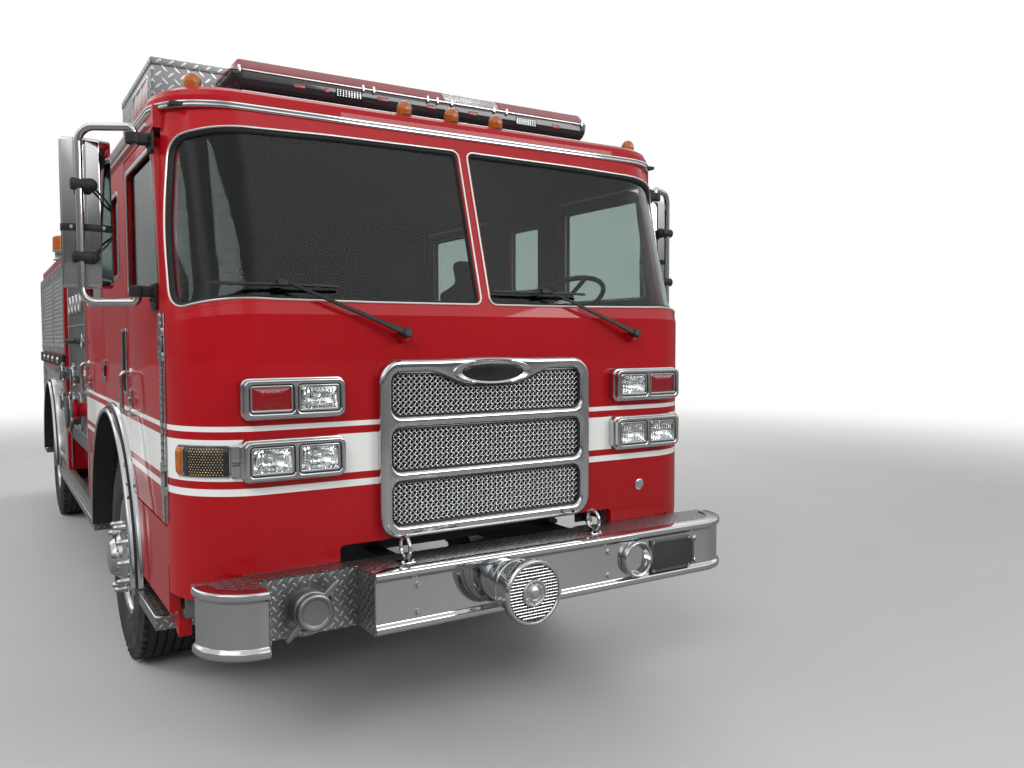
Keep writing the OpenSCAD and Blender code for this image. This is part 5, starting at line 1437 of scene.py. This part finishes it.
def gauge(y, z, r=0.062):
    # bezel, dial, ticks and needle
    x = pump["x"] + 0.0125
    bezel = turned(bend([(r * 1.08, -0.01), (r * 1.08, 0.006), (r, 0.014), (r * 0.86, 0.014), (r * 0.82, 0.008),
        (r * 0.82, 0.002)], 0.002, 3), (x, y, z), alongX, 48)
    dial = turned([(r * 0.83, 0.006), (0, 0.006)], (x, y, z), alongX, 40)
    a = np.linspace(-2.2, 2.2, 12)
    tick = brick(-0.0012, 0.0012, r * 0.62, r * 0.74, 0.0062, 0.007, 0.0003)
    turns = np.stack([np.stack([0 * a, 0 * a, 1 + 0 * a], 1), np.stack([cos(a), sin(a), 0 * a], 1),
        np.stack([-sin(a), cos(a), 0 * a], 1)], 1)
    marks = Shape().copies(tick, np.tile((x, y, z), (len(a), 1)), turns)
    needle = brick(x + 0.007, x + 0.0082, y - 0.0014, y + 0.0014, z - r * 0.12, z + r * 0.55, 0.0005)
    return bezel, dial, gather(marks, needle)


def pullRod(y, z):
    # a rod through a bush, ending in a T-grip
    x = pump["x"]
    rod = turned([(0.02, 0), (0.02, 0.006), (0.012, 0.012), (0.006, 0.012), (0.006, 0.056), (0, 0.056)], (x, y, z),
        alongX, 20, 0.001, 2)
    t, a = np.linspace(-1, 1, 15)[:, None], np.arange(14) * 2 * pi / 14
    swell = 0.0095 * np.sqrt(1 - 0.8 * t ** 4)
    grip = Shape().grid(xyz(x + 0.062 + 0.0001 * t + swell * cos(a), y + 0.034 * t, z + swell * sin(a)), False, True,
        True)
    return rod, grip


bezels, dials, marks, rods, grips = [], [], [], [], []
for y in pump["gauges"]:
    b, d, m = gauge(y, pump["gaugeZ"])
    bezels.append(b); dials.append(d); marks.append(m)
for y in pump["rods"]:
    r, g = pullRod(y, pump["rodZ"])
    rods.append(r); grips.append(g)
ringHandle = gather(tube(onSide(*(circle(0.042, 28) + (3.2, 1.64)).T, 1.222), 0.0055, 10, True),
                    turned([(0.018, 0), (0.016, 0.02), (0.008, 0.03), (0, 0.03)], (1.19, 3.2, 1.64), alongX, 20),
                    brick(1.206, 1.222, 3.194, 3.206, 1.6, 1.682, 0.003))
edges = gather(*[brick(1.1895, 1.1985, a, b, 0.64, 2.252, 0.002)
    for a, b in ((pump["front"], 3.09), (4.47, pump["back"]))],
    brick(1.1895, 1.1985, 3.062, 4.498, 2.222, 2.252, 0.002), brick(1.1895, 1.196, 3.09, 4.47, 1.745, 1.757, 0.002),
    brick(1.1895, 1.196, 3.09, 4.47, 0.985, 0.997, 0.002))
caps = [capShape(y, z, 0.058, 0.058, 3) for y, z in pump["outlets"][1:]] + [capShape(*pump["inlet"], 0.114, 0.05, 4)]
panelBolts = bolts(0.007, 0.004, [(1.1985, y, z) for y in (3.076, 4.484) for z in np.arange(0.7, 2.2, 0.21)], alongX,
    0.01)
piece("pumpTrim", bothSides(edges, panelBolts, *bezels, *rods, ringHandle), "satin", smooth=35)
piece("pumpCaps", bothSides(*caps), "chrome", smooth=35)
piece("pumpRedCap", bothSides(capShape(*pump["outlets"][0], 0.058, 0.058, 3)), "red", smooth=35)
piece("pumpDials", bothSides(*dials), "dial")
piece("pumpMarks", bothSides(*marks, *grips), "black", weld=False)

# body sides: slatted shutters in frames, polished lower panels and doors, padded bar with studs
bodySide = {"bays": ((4.56, 5.56), (5.64, 6.86), (6.91, 7.23)), "low": 1.55, "high": 2.19, "slat": 0.0366,
    "panel": (4.52, 7.23, 0.65, 1.4), "arch": 0.746, "doors": ((4.56, 5.21), (6.8, 7.195)),
    "studs": (4.935, 5.48, 6.025, 6.57)}


def slats(y0, y1, low, high, x, toSpace=onSide):
    # x follows a flat crest with a narrow groove at each joint
    n = int(round((high - low) / bodySide["slat"]))
    z = np.linspace(low, high, n * 8 + 1)
    step = np.arange(len(z)) % 8
    h = x + np.array([0.0, 0.0022, 0.003, 0.0033, 0.0034, 0.0033, 0.003, 0.0022])[step]
    y = np.linspace(y0, y1, 5)
    return Shape().grid(toSpace(y[None], z[:, None], h[:, None]))


def bayShapes(y0, y1, toSpace=onSide, x=1.22, low=bodySide["low"], high=bodySide["high"]):
    # frame, slats, bottom rail with a lift bar
    frame = cutPlate([rounded(y0 - 0.012, y1 + 0.012, low - 0.012, high + 0.03, 0.006, 3),
        rounded(y0 + 0.022, y1 - 0.022, low + 0.01, high - 0.018, 0.004, 3)], x - 0.001, x + 0.0075, 0.0015, toSpace,
        1)
    curtain = slats(y0 + 0.018, y1 - 0.018, low + 0.06, high - 0.01, x + 0.0004, toSpace)
    rail = tile(y0 + 0.02, y1 - 0.02, low + 0.008, low + 0.062, 0.004, x, x + 0.0058, 0.0015, toSpace)
    bar = tile(y0 + 0.05, y1 - 0.05, low + 0.028, low + 0.046, 0.009, x + 0.0075, x + 0.0155, 0.0035, toSpace, 5, 3)
    feet = [tile(y - 0.014, y + 0.014, low + 0.024, low + 0.05, 0.004, x, x + 0.008, 0.001, toSpace, 3, 1)
        for y in (y0 + 0.066, y1 - 0.066)]
    return frame, gather(curtain, rail), gather(bar, *feet)


def lowerPanel():
    # a rectangle whose lower edge follows the wheel arch
    y0, y1, low, high = bodySide["panel"]
    t = math.asin((low - 0.53) / bodySide["arch"])
    a = np.linspace(pi - t, t, 48)
    arc = xyz(6.0 + bodySide["arch"] * cos(a), 0.53 + bodySide["arch"] * sin(a))
    return np.concatenate([[(y0, low)], arc, [(y1, low), (y1, high), (y0, high)]])


def latch(y, z):
    # a dished plate with a D ring across it
    dish = turned(bend([(0.044, 0), (0.044, 0.003), (0.04, 0.005), (0.036, 0.0045), (0.03, -0.002), (0.0, -0.002)],
        0.001, 2), (1.2262, y, z), alongX, 36)
    ring = tube(bend([(1.2315, y - 0.026, z + 0.006), (1.2315, y - 0.026, z - 0.012), (1.2325, y, z - 0.034),
        (1.2315, y + 0.026, z - 0.012), (1.2315, y + 0.026, z + 0.006), (1.2315, y - 0.026, z + 0.006)], 0.008, 3),
        0.0032, 8)
    return gather(dish, ring, brick(1.2275, 1.234, y - 0.03, y + 0.03, z + 0.002, z + 0.011, 0.002))


bodyFrames, curtains, bars = zip(*[bayShapes(*b) for b in bodySide["bays"]])
bodyDoors = [tile(a, b, 0.69, 1.372, 0.018, 1.2235, 1.2268, 0.0012, onSide, 5) for a, b in bodySide["doors"]]
bodyHinges = [gather(turned([(0, a), (0.0055, a), (0.0055, b), (0, b)], (1.2285, 0, 0.681), alongY, 12),
    brick(1.2232, 1.2275, a, b, 0.684, 0.706, 0.001)) for a, b in bodySide["doors"]]
archTrim = cutPlate([lowerPanel()], 1.2195, 1.2236, 0.0012, onSide, 1)
barPad = tile(4.52, 7.23, 1.432, 1.528, 0.01, 1.22, 1.244, 0.007, onSide, 4, 4)
studs = scatter(turned(bend([(0.03, 0), (0.03, 0.003), (0.026, 0.01), (0.016, 0.0165), (0, 0.0185)], 0.002, 3),
    sides=28), [(1.2435, y, 1.48) for y in bodySide["studs"]], alongX)
topStrip = brick(1.2195, 1.225, 4.505, 7.245, 2.224, 2.256, 0.0015)
piece("shutterFrames", bothSides(*bodyFrames, topStrip), "satin", replaces="side_panels", smooth=30)
piece("shutterSlats", bothSides(*curtains), "slat", smooth=35)
piece("shutterBars", bothSides(*bars, *[latch((a + b) / 2, 1.24) for a, b in bodySide["doors"]], *bodyHinges, studs),
    "chrome", smooth=35)
piece("lowerPanels", bothSides(archTrim, *bodyDoors), "polished", smooth=30)
piece("paddedBars", bothSides(barPad), "rubberTrim")

# back of the body: shutter, plated sides, lamps in bezels, grab rails, and beacons on top
rear = {"y": 7.25, "lamps": (0.7, 0.85, 1.000), "lampX": (0.96, 1.14), "big": (0.86, 1.14, 1.95, 2.11),
        "rails": ((1.185, 1.15, 2.15), (0.3, 1.65, 2.15)), "beacon": (1.17, 5.3, 2.34)}


def onBack(a, b, h):       # X and Z on the back, height as Y
    return xyz(a, rear["y"] + h, b)


def rearLamp(x0, x1, z0, z1):
    # bezel round a crowned lens
    outer, inner = rounded(x0, x1, z0, z1, 0.016, 5), rounded(x0 + 0.01, x1 - 0.01, z0 + 0.01, z1 - 0.01, 0.01, 5)
    bezel = cutPlate([outer, inner], -0.001, 0.0125, 0.003, onBack, 2)
    lens = tile(x0 + 0.009, x1 - 0.009, z0 + 0.009, z1 - 0.009, 0.01, 0.001, 0.0138, 0.005, onBack, 5, 3)
    return bezel, lens


def grabRail(x, low, high):
    # a bar bent in at both ends, on round feet
    y = rear["y"]
    path = bend([(x, y, low + 0.04), (x, y + 0.06, low + 0.04), (x, y + 0.06, high - 0.04), (x, y, high - 0.04)],
        0.03, 7)
    feet = [turned([(0.03, 0), (0.028, 0.006), (0.016, 0.009), (0, 0.009)], (x, y, z), alongY, 24)
        for z in (low + 0.04, high - 0.04)]
    return gather(tube(path, 0.0155, 16), *feet)


def beacon():
    # bright base with a rim, and a fluted amber dome
    x, y, z = rear["beacon"]
    base = turned(bend([(0.0, -0.004), (0.062, -0.004), (0.062, 0.006), (0.047, 0.012), (0.047, 0.066), (0.066, 0.07),
        (0.068, 0.08), (0.0, 0.08)], 0.002, 3), (x, y, z), alongZ, 48)
    t = np.linspace(0, 1, 20)[:, None]
    a = np.linspace(0, 2 * pi, 97)[:-1][None]
    r = np.where(t < 0.8, 0.064 - 0.003 * t,
        0.0616 * np.sqrt(np.maximum(1 - (np.maximum(t - 0.8, 0) / 0.2) ** 2.4,
        0))) * (1 + 0.012 * cos(32 * a) * (t < 0.85))
    return base, Shape().grid(xyz(x + r * cos(a), y + r * sin(a), z + 0.08 + 0.134 * t), False, True, True)


lampSets = [rearLamp(*rear["lampX"], z, z + 0.12) for z in rear["lamps"]] + [rearLamp(*rear["big"])]
frameB, curtainB, barB = bayShapes(-0.43, 0.43, onBack, 0.0, 0.7, 1.56)
plates = [tile(0.475, 1.205, 0.64, 2.245, 0.006, 0.0, 0.0034, 0.001, onBack, 3, 1)]
beaconBase, beaconDome = beacon()
deckSlats = gather(*[brick(x - 0.04, x + 0.04, 4.565, 7.185, 1.5, 1.516, 0.003) for x in np.arange(-0.55, 0.56, 0.1)],
                   *[brick(x - 0.003, x + 0.003, 4.6, 7.15, 1.514, 2.15, 0.002) for x in (-0.2, 0.2)])
railCaps = bothSides(brick(1.078, 1.202, 4.538, 7.212, 2.322, 2.343, 0.004))
piece("backPlates", bothSides(*plates), "tread", smooth=30)
piece("backShutterFrame", frameB, "satin", smooth=30)
piece("backShutterSlats", curtainB, "slat", smooth=35)
piece("backBright", gather(barB, *[bothSides(grabRail(*r)) for r in rear["rails"]],
    *[bothSides(b) for b, l in lampSets], bothSides(beaconBase), railCaps), "chrome", smooth=35)
piece("backLenses", bothSides(dressed(lampSets[0][1], 1), dressed(lampSets[1][1], 2), dressed(lampSets[2][1], 0),
    dressed(lampSets[3][1], 0)), ["redLens", "clearLens", "amberLens"])
piece("beaconDomes", bothSides(beaconDome), "amberLens")
piece("hoseBedSlats", deckSlats, "satin", smooth=30)

# steps: bright folded edges on the running boards, front steps and tailboard
lipR = 0.0045


def edgeLip(points):
    return tube(np.array(points, float), lipR, 8)


lips = []
for y0, y1, x1, z in ((2.57, 5.22, 1.2415, 0.5475), (6.78, 7.19, 1.2415, 0.5475), (0.48, 0.9, 1.2415, 0.5535)):
    lips.append(edgeLip(bend([(1.19, y0 - 0.001, z), (x1, y0 - 0.001, z), (x1, y1 + 0.001, z), (1.19, y1 + 0.001, z)],
        0.012, 4)))
lips.append(edgeLip([(1.0, 7.6005, 0.6175), (0.0, 7.6005, 0.6175)]))
lips.append(edgeLip(bend([(1.0, 7.6005, 0.6175), (1.1805, 7.6005, 0.6175), (1.1805, 7.262, 0.6175)], 0.012, 4)))
piece("stepLips", bothSides(*lips), "polished", smooth=40)
u, z = np.meshgrid(np.linspace(1.02, 1.39, 24), np.array([0.7, 0.704, 0.83]))
filler = onNose(u, z, np.array([-0.006, -0.002, -0.002])[:, None])
skirt = gather(Shape().grid(filler), brick(1.012, 1.182, 0.466, 0.479, 0.56, 0.8, 0.003),
    slab(roundedLoop(((0.345, 0.5), (0.467, 0.54), (0.467, 0.702), (0.33, 0.702)), 0.008, 3), 1.131, 1.181, 0.004,
    onSide, 2))
emblem = turned(bend([(0.026, -0.001), (0.026, 0.003), (0.022, 0.005), (0.018, 0.004), (0.0, 0.0045)], 0.001, 3),
    (0.825, 0, 0.96), ahead, 36)
piece("stepSkirts", bothSides(skirt), "red", smooth=35)
bracket = brick(1.128, 1.17, 0.262, 0.33, 0.596, 0.692, 0.006)
piece("stepBrackets", bothSides(bracket), "cast", smooth=35)
arches = []
for y, r, x0 in ((wheel["frontY"], 0.7455, 1.15), (wheel["rearY"], 0.7155, 1.15)):
    a = np.linspace(0.045, pi - 0.045, 72)[:, None]
    x = np.array([x0, x0 + 0.02, 1.2195, 1.26, 1.263])[None]
    ring = np.array([r, r, r, r, r + 0.003])[None]
    arches.append(Shape().grid(xyz(x, y + ring * cos(a), wheel["z"] + ring * sin(a))))
piece("archLiners", bothSides(*arches), "black", smooth=35)
piece("frontDisc", emblem, "chrome")
print("wheels, pump panels and body made")


# seats: padded pans and backs, pressed out by cloth, on moulded pedestals
seat = {"places": ((0.76, 1.000), (-0.76, 1.000), (0.76, 2.42), (-0.76, 2.42)),
    "pan": (-0.238, 0.238, -0.01, 0.442, 1.34, 1.412),
    "backOutline": ((-0.236, 0.006), (0.236, 0.006), (0.238, 0.485), (0.132, 0.56), (0.132, 0.694), (-0.132, 0.694),
    (-0.132, 0.56), (-0.238, 0.485)), "backDepth": (0.012, 0.078), "voxel": 0.005, "pressure": 4.0, "frames": 20,
    "cap": 0.016, "rear": (0.455, 1.43), "up": (0.0, 0.0981, 0.9952)}


def pressOut(shape, low, high):
    # remesh evenly, let cloth pressure swell it, and hold each point within the cap and the box low..high
    mesh = bpy.data.meshes.new("pad")
    mesh.from_pydata(np.concatenate(shape.points).tolist(), [], [f.tolist() for faces in shape.faces for f in faces])
    obj = linked("pad", mesh)
    even = obj.modifiers.new("even", "REMESH")
    even.mode, even.voxel_size = "VOXEL", seat["voxel"]
    mesh = bpy.data.meshes.new_from_object(evaluated(obj))
    obj.modifiers.clear()
    obj.data = mesh
    start = grown = readPoints(mesh.vertices)
    cloth = obj.modifiers.new("swell", "CLOTH")
    s = cloth.settings
    s.use_pressure, s.uniform_pressure_force, s.effector_weights.gravity = True, seat["pressure"], 0.0
    s.tension_stiffness = s.compression_stiffness = 12.0
    s.quality = 4
    cloth.point_cache.frame_start, cloth.point_cache.frame_end = 1, seat["frames"]
    for k in range(1, seat["frames"] + 1):
        scene.frame_set(k)
    done = evaluated(obj).to_mesh()
    grown = readPoints(done.vertices)
    obj.modifiers.clear()
    scene.frame_set(1)
    step = grown - start
    far = np.linalg.norm(step, axis=1, keepdims=True)
    grown = start + step * np.minimum(1, seat["cap"] / np.maximum(far, 1e-9))
    normals = readPoints(mesh.vertex_normals, "vector")
    faces = np.array([tuple(f.vertices) for f in mesh.polygons if len(f.vertices) == 4])
    bpy.data.objects.remove(obj)
    return np.clip(grown, low, high), normals, faces


def groove(d, wide=0.006):
    # 1 in the middle of a sewn line and 0 away from it, from the distance to the line
    return np.exp(-(d / wide) ** 2)


def panPad():
    # crowned pan with a seam inside its edge and cross channels, its front edge rolled down
    x0, x1, y0, y1, z0, z1 = seat["pan"]
    p, n, faces = pressOut(tile(x0, x1, y0, y1, 0.055, z0, z1, 0.03, onTop, 6, 4), (-0.256, -0.026, 1.332),
        (0.256, 0.466, 1.436))
    inX, inY = np.abs(p[:, 0]), np.abs(p[:, 1] - 0.216)
    top = np.clip(n[:, 2] * 2, 0, 1)
    edge = np.minimum(0.2 - inX, 0.186 - inY)
    dip = 0.005 * groove(edge, 0.005) * top
    for y in (0.1, 0.18, 0.26, 0.34):
        dip = dip + 0.005 * groove(p[:, 1] - y) * top * (edge > 0)
    waist = 0.006 * np.clip(1 - (inX / 0.2) ** 2, 0,
        1) * (np.abs(n[:, 1]) > 0.6) + 0.006 * np.clip(1 - (inY / 0.18) ** 2, 0, 1) * (np.abs(n[:, 0]) > 0.6)
    return p - n * (dip + waist)[:, None] + xyz(0, 0, 0.01 * np.clip(1 - (inX / 0.22) ** 2, 0, 1) * top), faces


def backPad():
    # leaning back with upright channels, a seam under the headrest and pulled-in sides
    loop = roundedLoop(seat["backOutline"], 0.04, 5)
    p, n, faces = pressOut(slab(loop, *seat["backDepth"], 0.026, onTop, 4), (-0.254, -0.004, 0.002),
        (0.254, 0.712, 0.094))
    front = np.clip(n[:, 2] * 2, 0, 1)
    dip = 0.006 * groove(p[:, 1] - 0.545) * front
    for x in (-0.14, -0.05, 0.05, 0.14):
        dip = dip + 0.005 * groove(p[:, 0] - x) * front * (p[:, 1] > 0.05) * (p[:, 1] < 0.49)
    dip = dip + 0.005 * (groove(p[:, 1] - 0.05) + groove(p[:, 1] - 0.49)) * front
    waist = 0.007 * np.clip(1 - ((p[:, 1] - 0.25) / 0.2) ** 2, 0, 1) * (np.abs(n[:, 0]) > 0.6)
    p = p - n * (dip + waist)[:, None]
    up = np.array(seat["up"])
    fwd = np.array((0.0, -up[2], up[1]))
    return xyz(p[:, 0], *seat["rear"]) + p[:, 1:2] * up + p[:, 2:3] * fwd, faces


def seatBox(x, y):
    # a side outline whose lower edge stays above the round cover of the front wheel, carried across the seat
    run = np.linspace(y + 0.03, y + 0.41, 14)
    low = np.maximum(0.946, 0.53 + np.sqrt(np.maximum(0.78 ** 2 - (run - 1.7) ** 2, 0)))
    loop = np.concatenate([xyz(run, low), [(y + 0.41, 1.3), (y + 0.03, 1.3)]])
    return slab(loop, x - 0.2, x + 0.2, 0.006, onSide, 2)


panPoints, panFaces = panPad()
backPoints, backFaces = backPad()
for k, (x, y) in enumerate(seat["places"]):
    for name, pts, faces, tight in (("seatPan_", panPoints, panFaces, 0.7),
            ("seatBack_", backPoints, backFaces, 0.65)):
        pad = piece(name + str(k + 1), Shape().add(pts + (x, y, 0), [faces]), "cloth",
                    replaces="seats" if (k, name) == (0, "seatPan_") else (), smooth=80, weld=False)
base = [gather(seatBox(x, y), brick(x - 0.236, x + 0.236, y - 0.004, y + 0.45, 1.286, 1.334, 0.016),
    brick(x - 0.248, x - 0.239, y + 0.33, y + 0.47, 1.3, 1.52, 0.004),
    brick(x + 0.239, x + 0.248, y + 0.33, y + 0.47, 1.3, 1.52, 0.004)) for x, y in seat["places"]]
piece("seatBases", gather(*base), "black", smooth=35)
print("seats pressed:", len(panPoints), len(backPoints))

# dash, engine tunnel, steering wheel and lining
cab = {"dash": (-0.918, 0.918, 0.046, 0.424, 1.402, 1.69), "tunnel": (-0.398, 0.398, 0.43, 2.098, 0.947, 1.416),
       "wheelCentre": (0.85, 0.64, 1.85), "wheelR": 0.215, "tilt": 30}


def steeringWheel():
    # ring with finger swells, three spokes and a domed hub, on the tilted column
    t = math.radians(cab["tilt"])
    ex, ey, ez = np.array((1.0, 0, 0)), np.array((0, cos(t), -sin(t))), np.array((0, sin(t), cos(t)))
    c = np.array(cab["wheelCentre"])
    a = np.arange(96) * 2 * pi / 96
    ring = tube(c + cab["wheelR"] * (cos(a)[:, None] * ex + sin(a)[:, None] * ey), 0.0132 * (1 + 0.05 * cos(24 * a)),
        14, True)
    spokes = []
    for s in np.radians((30, 150, 270)):
        d = cos(s) * ex + sin(s) * ey
        w = np.cross(ez, d)
        u = np.linspace(0.03, 0.207, 12)
        spokes.append(carry(c + u[:, None] * d - 0.01 * (1 - u[:, None] / 0.21) * ez, w, ez,
            np.array([(-0.015, -0.003), (0.015, -0.003), (0.016, 0), (0.012, 0.005), (-0.012, 0.005), (-0.016, 0)])))
    hub = turned(bend([(0, -0.15), (0.0175, -0.15), (0.0175, -0.02), (0.05, -0.016), (0.052, 0.004), (0.04, 0.016),
        (0, 0.02)], 0.003, 3), c, ez, 32)
    return gather(ring, hub, *spokes)


dx0, dx1, dy0, dy1, dz0, dz1 = cab["dash"]
tx0, tx1, ty0, ty1, tz0, tz1 = cab["tunnel"]
dash = gather(brick(dx0, dx1, dy0, dy1, dz0, dz1, 0.035), brick(0.6, 0.915, 0.25, 0.428, 1.64, 1.698, 0.028),
    brick(tx0, tx1, ty0, ty1, tz0, tz1, 0.045), brick(-0.2, 0.2, 0.44, 0.7, 1.41, 1.48, 0.02),
    tube([(0.85, 0.425, 1.478), (0.85, 0.55, 1.694)], 0.034, 24))
screens = gather(brick(-0.15, 0.15, 0.4225, 0.4285, 1.5, 1.64, 0.004),
    brick(-0.8, -0.5, 0.4225, 0.4285, 1.48, 1.62, 0.004))
dials = gather(*[turned([(r, 0.0), (r, 0.006), (r * 0.9, 0.008), (r * 0.86, 0.004), (0, 0.004)], (x, 0.4245, z),
    alongY, 32) for x, z, r in ((0.7, 1.56, 0.045), (0.81, 1.56, 0.045), (0.6, 1.59, 0.026), (0.6, 1.525, 0.026))])
switches = gather(*[brick(x, x + 0.018, 0.4225, 0.432, z, z + 0.03, 0.003) for x in np.arange(0.22, 0.52, 0.03)
    for z in (1.5, 1.56)])
pillar = cutPlate([np.array([(1.174, 1.3), (2.006, 1.3), (2.006, 2.452), (1.174, 2.452)]), midWindow], 1.172, 1.1805,
    0.002, onSide, 1)
lining = gather(brick(-1.176, 1.176, 0.3, 2.975, 2.514, 2.5295, 0.003),
    brick(-1.172, 1.172, 2.966, 2.9795, 0.95, 2.514, 0.003),
    bothSides(pillar, brick(1.1715, 1.1805, 0.46, 2.966, 2.446, 2.516, 0.003),
    brick(1.1715, 1.1805, 2.91, 2.966, 0.95, 2.45, 0.003)))
piece("dashShell", dash, "trim", replaces="dashboard", smooth=40)
piece("dashScreens", gather(screens, switches), "gloss", smooth=30)
piece("dashDials", dials, "dial", smooth=30)
piece("steeringRing", steeringWheel(), "black", "steering_wheel", "steering_wheel", smooth=45)
piece("cabLining", lining, "trim", smooth=30)
print("cab inside made")


# stage
stageLook = {"floor": (0.54, 0.54, 0.53), "ambient": 0.5, "fade": (7.0, 16.0), "gloss": (-0.02, 0.55, 0.24, 1.9),
             "patches": (0.44, 0.6, 0.45, 1.0), "patchScale": 1.7, "floorInGloss": 0.42}


def setStage():
    # a pale floor that fades to white far out, a white world that gloss sees darker towards the horizon and in
    # broad soft patches, and four soft lamps
    m = Finish("paleFloor", rough=0.55, specular=0.25)
    at, x, y, z = m.place()
    pale = m.tint(m.noise(at, 0.7, 3).ease(0.3, 0.7), stageLook["floor"], tuple(c * 0.97 for c in stageLook["floor"]))
    # reflections see the floor painted darker than it is: a painted reflection that deepens chrome and red paint
    mirrored = m.node("ShaderNodeLightPath", {}, {}, "Is Glossy Ray")
    m.set("color", m.tint(mirrored, pale, tuple(c * stageLook["floorInGloss"] for c in stageLook["floor"])))
    far = (x * x + y * y).op("SQRT").ease(*stageLook["fade"])
    seen = far * m.node("ShaderNodeLightPath", {}, {}, "Is Camera Ray")
    white = m.tree.nodes.new("ShaderNodeEmission")
    mix = m.tree.nodes.new("ShaderNodeMixShader")
    out = m.tree.nodes["Material Output"]
    for a, b in ((seen.out, mix.inputs[0]), (m.shader.outputs[0], mix.inputs[1]), (white.outputs[0], mix.inputs[2]),
                 (mix.outputs[0], out.inputs[0])):
        m.tree.links.new(a, b)
    mesh = bpy.data.meshes.new("floor")
    mesh.from_pydata([(-60, -60, 0), (60, -60, 0), (60, 60, 0), (-60, 60, 0)], [], [(0, 1, 2, 3)])
    mesh.materials.append(m.bpy)
    linked("floor", mesh)
    world = scene.world or bpy.data.worlds.new("studio")
    scene.world = world
    world.use_nodes = True
    tree = world.node_tree
    tree.nodes.clear()
    new = lambda kind: tree.nodes.new("ShaderNode" + kind)
    coords, split, ramp, rays = new("TexCoord"), new("SeparateXYZ"), new("MapRange"), new("LightPath")
    seen, gloss, fill = new("Background"), new("Background"), new("Background")
    kind, lit, most, both, out = new("MixShader"), new("MixShader"), new("Math"), new("Math"), new("OutputWorld")
    patch, spread, joined, only = new("TexNoise"), new("MapRange"), new("Math"), new("Math")
    only.operation, only.use_clamp = "SUBTRACT", True
    most.operation, both.operation, joined.operation = "MAXIMUM", "MAXIMUM", "MULTIPLY"
    ramp.interpolation_type = spread.interpolation_type = "SMOOTHSTEP"
    patch.inputs["Scale"].default_value, patch.inputs["Detail"].default_value = stageLook["patchScale"], 1.0
    for node, values in ((ramp, stageLook["gloss"]), (spread, stageLook["patches"])):
        for key, value in zip(("From Min", "From Max", "To Min", "To Max"), values):
            node.inputs[key].default_value = value
    fill.inputs[1].default_value = stageLook["ambient"]
    for b in (seen, gloss, fill):
        b.inputs[0].default_value = (1, 1, 1, 1)
    for a, b in ((coords.outputs["Generated"], split.inputs[0]), (split.outputs[2], ramp.inputs["Value"]),
                 (coords.outputs["Generated"], patch.inputs["Vector"]), (patch.outputs[0], spread.inputs["Value"]),
                 (ramp.outputs[0], joined.inputs[0]), (spread.outputs[0], joined.inputs[1]),
                 (joined.outputs[0], gloss.inputs[1]), (rays.outputs["Is Glossy Ray"], only.inputs[0]),
                 (rays.outputs["Is Transmission Ray"], only.inputs[1]), (only.outputs[0], kind.inputs[0]),
                 (seen.outputs[0], kind.inputs[1]), (gloss.outputs[0], kind.inputs[2]),
                 (rays.outputs["Is Camera Ray"], most.inputs[0]), (rays.outputs["Is Glossy Ray"], most.inputs[1]),
                 (most.outputs[0], both.inputs[0]), (rays.outputs["Is Transmission Ray"], both.inputs[1]),
                 (both.outputs[0], lit.inputs[0]), (fill.outputs[0], lit.inputs[1]), (kind.outputs[0], lit.inputs[2]),
                 (lit.outputs[0], out.inputs[0])):
        tree.links.new(a, b)
    for name, place, aim, (wide, deep), power in (
            ("keyLamp", (-5, -9.5, 6.5), (0, -4, 1.2), (5, 3), 420),
            ("frontLamp", (4.5, -11, 5.0), (0, -3.5, 1.2), (4, 3), 260),
            ("sideLamp", (-9, 1.0, 6.0), (0, 0, 1.2), (7, 3), 420),
            ("backLamp", (7, 7, 7.0), (0, 1, 1.2), (7, 4), 420)):
        data = bpy.data.lights.new(name, "AREA")
        data.shape, data.size, data.size_y, data.energy = "RECTANGLE", wide, deep, power
        lamp = linked(name, data)
        lamp.visible_glossy = name == "frontLamp"
        back = unit(np.array(place, float) - aim)
        right = unit(np.cross(alongZ, back))
        stand(lamp, (right, np.cross(back, right), back), place)


setStage()
print("stage set")
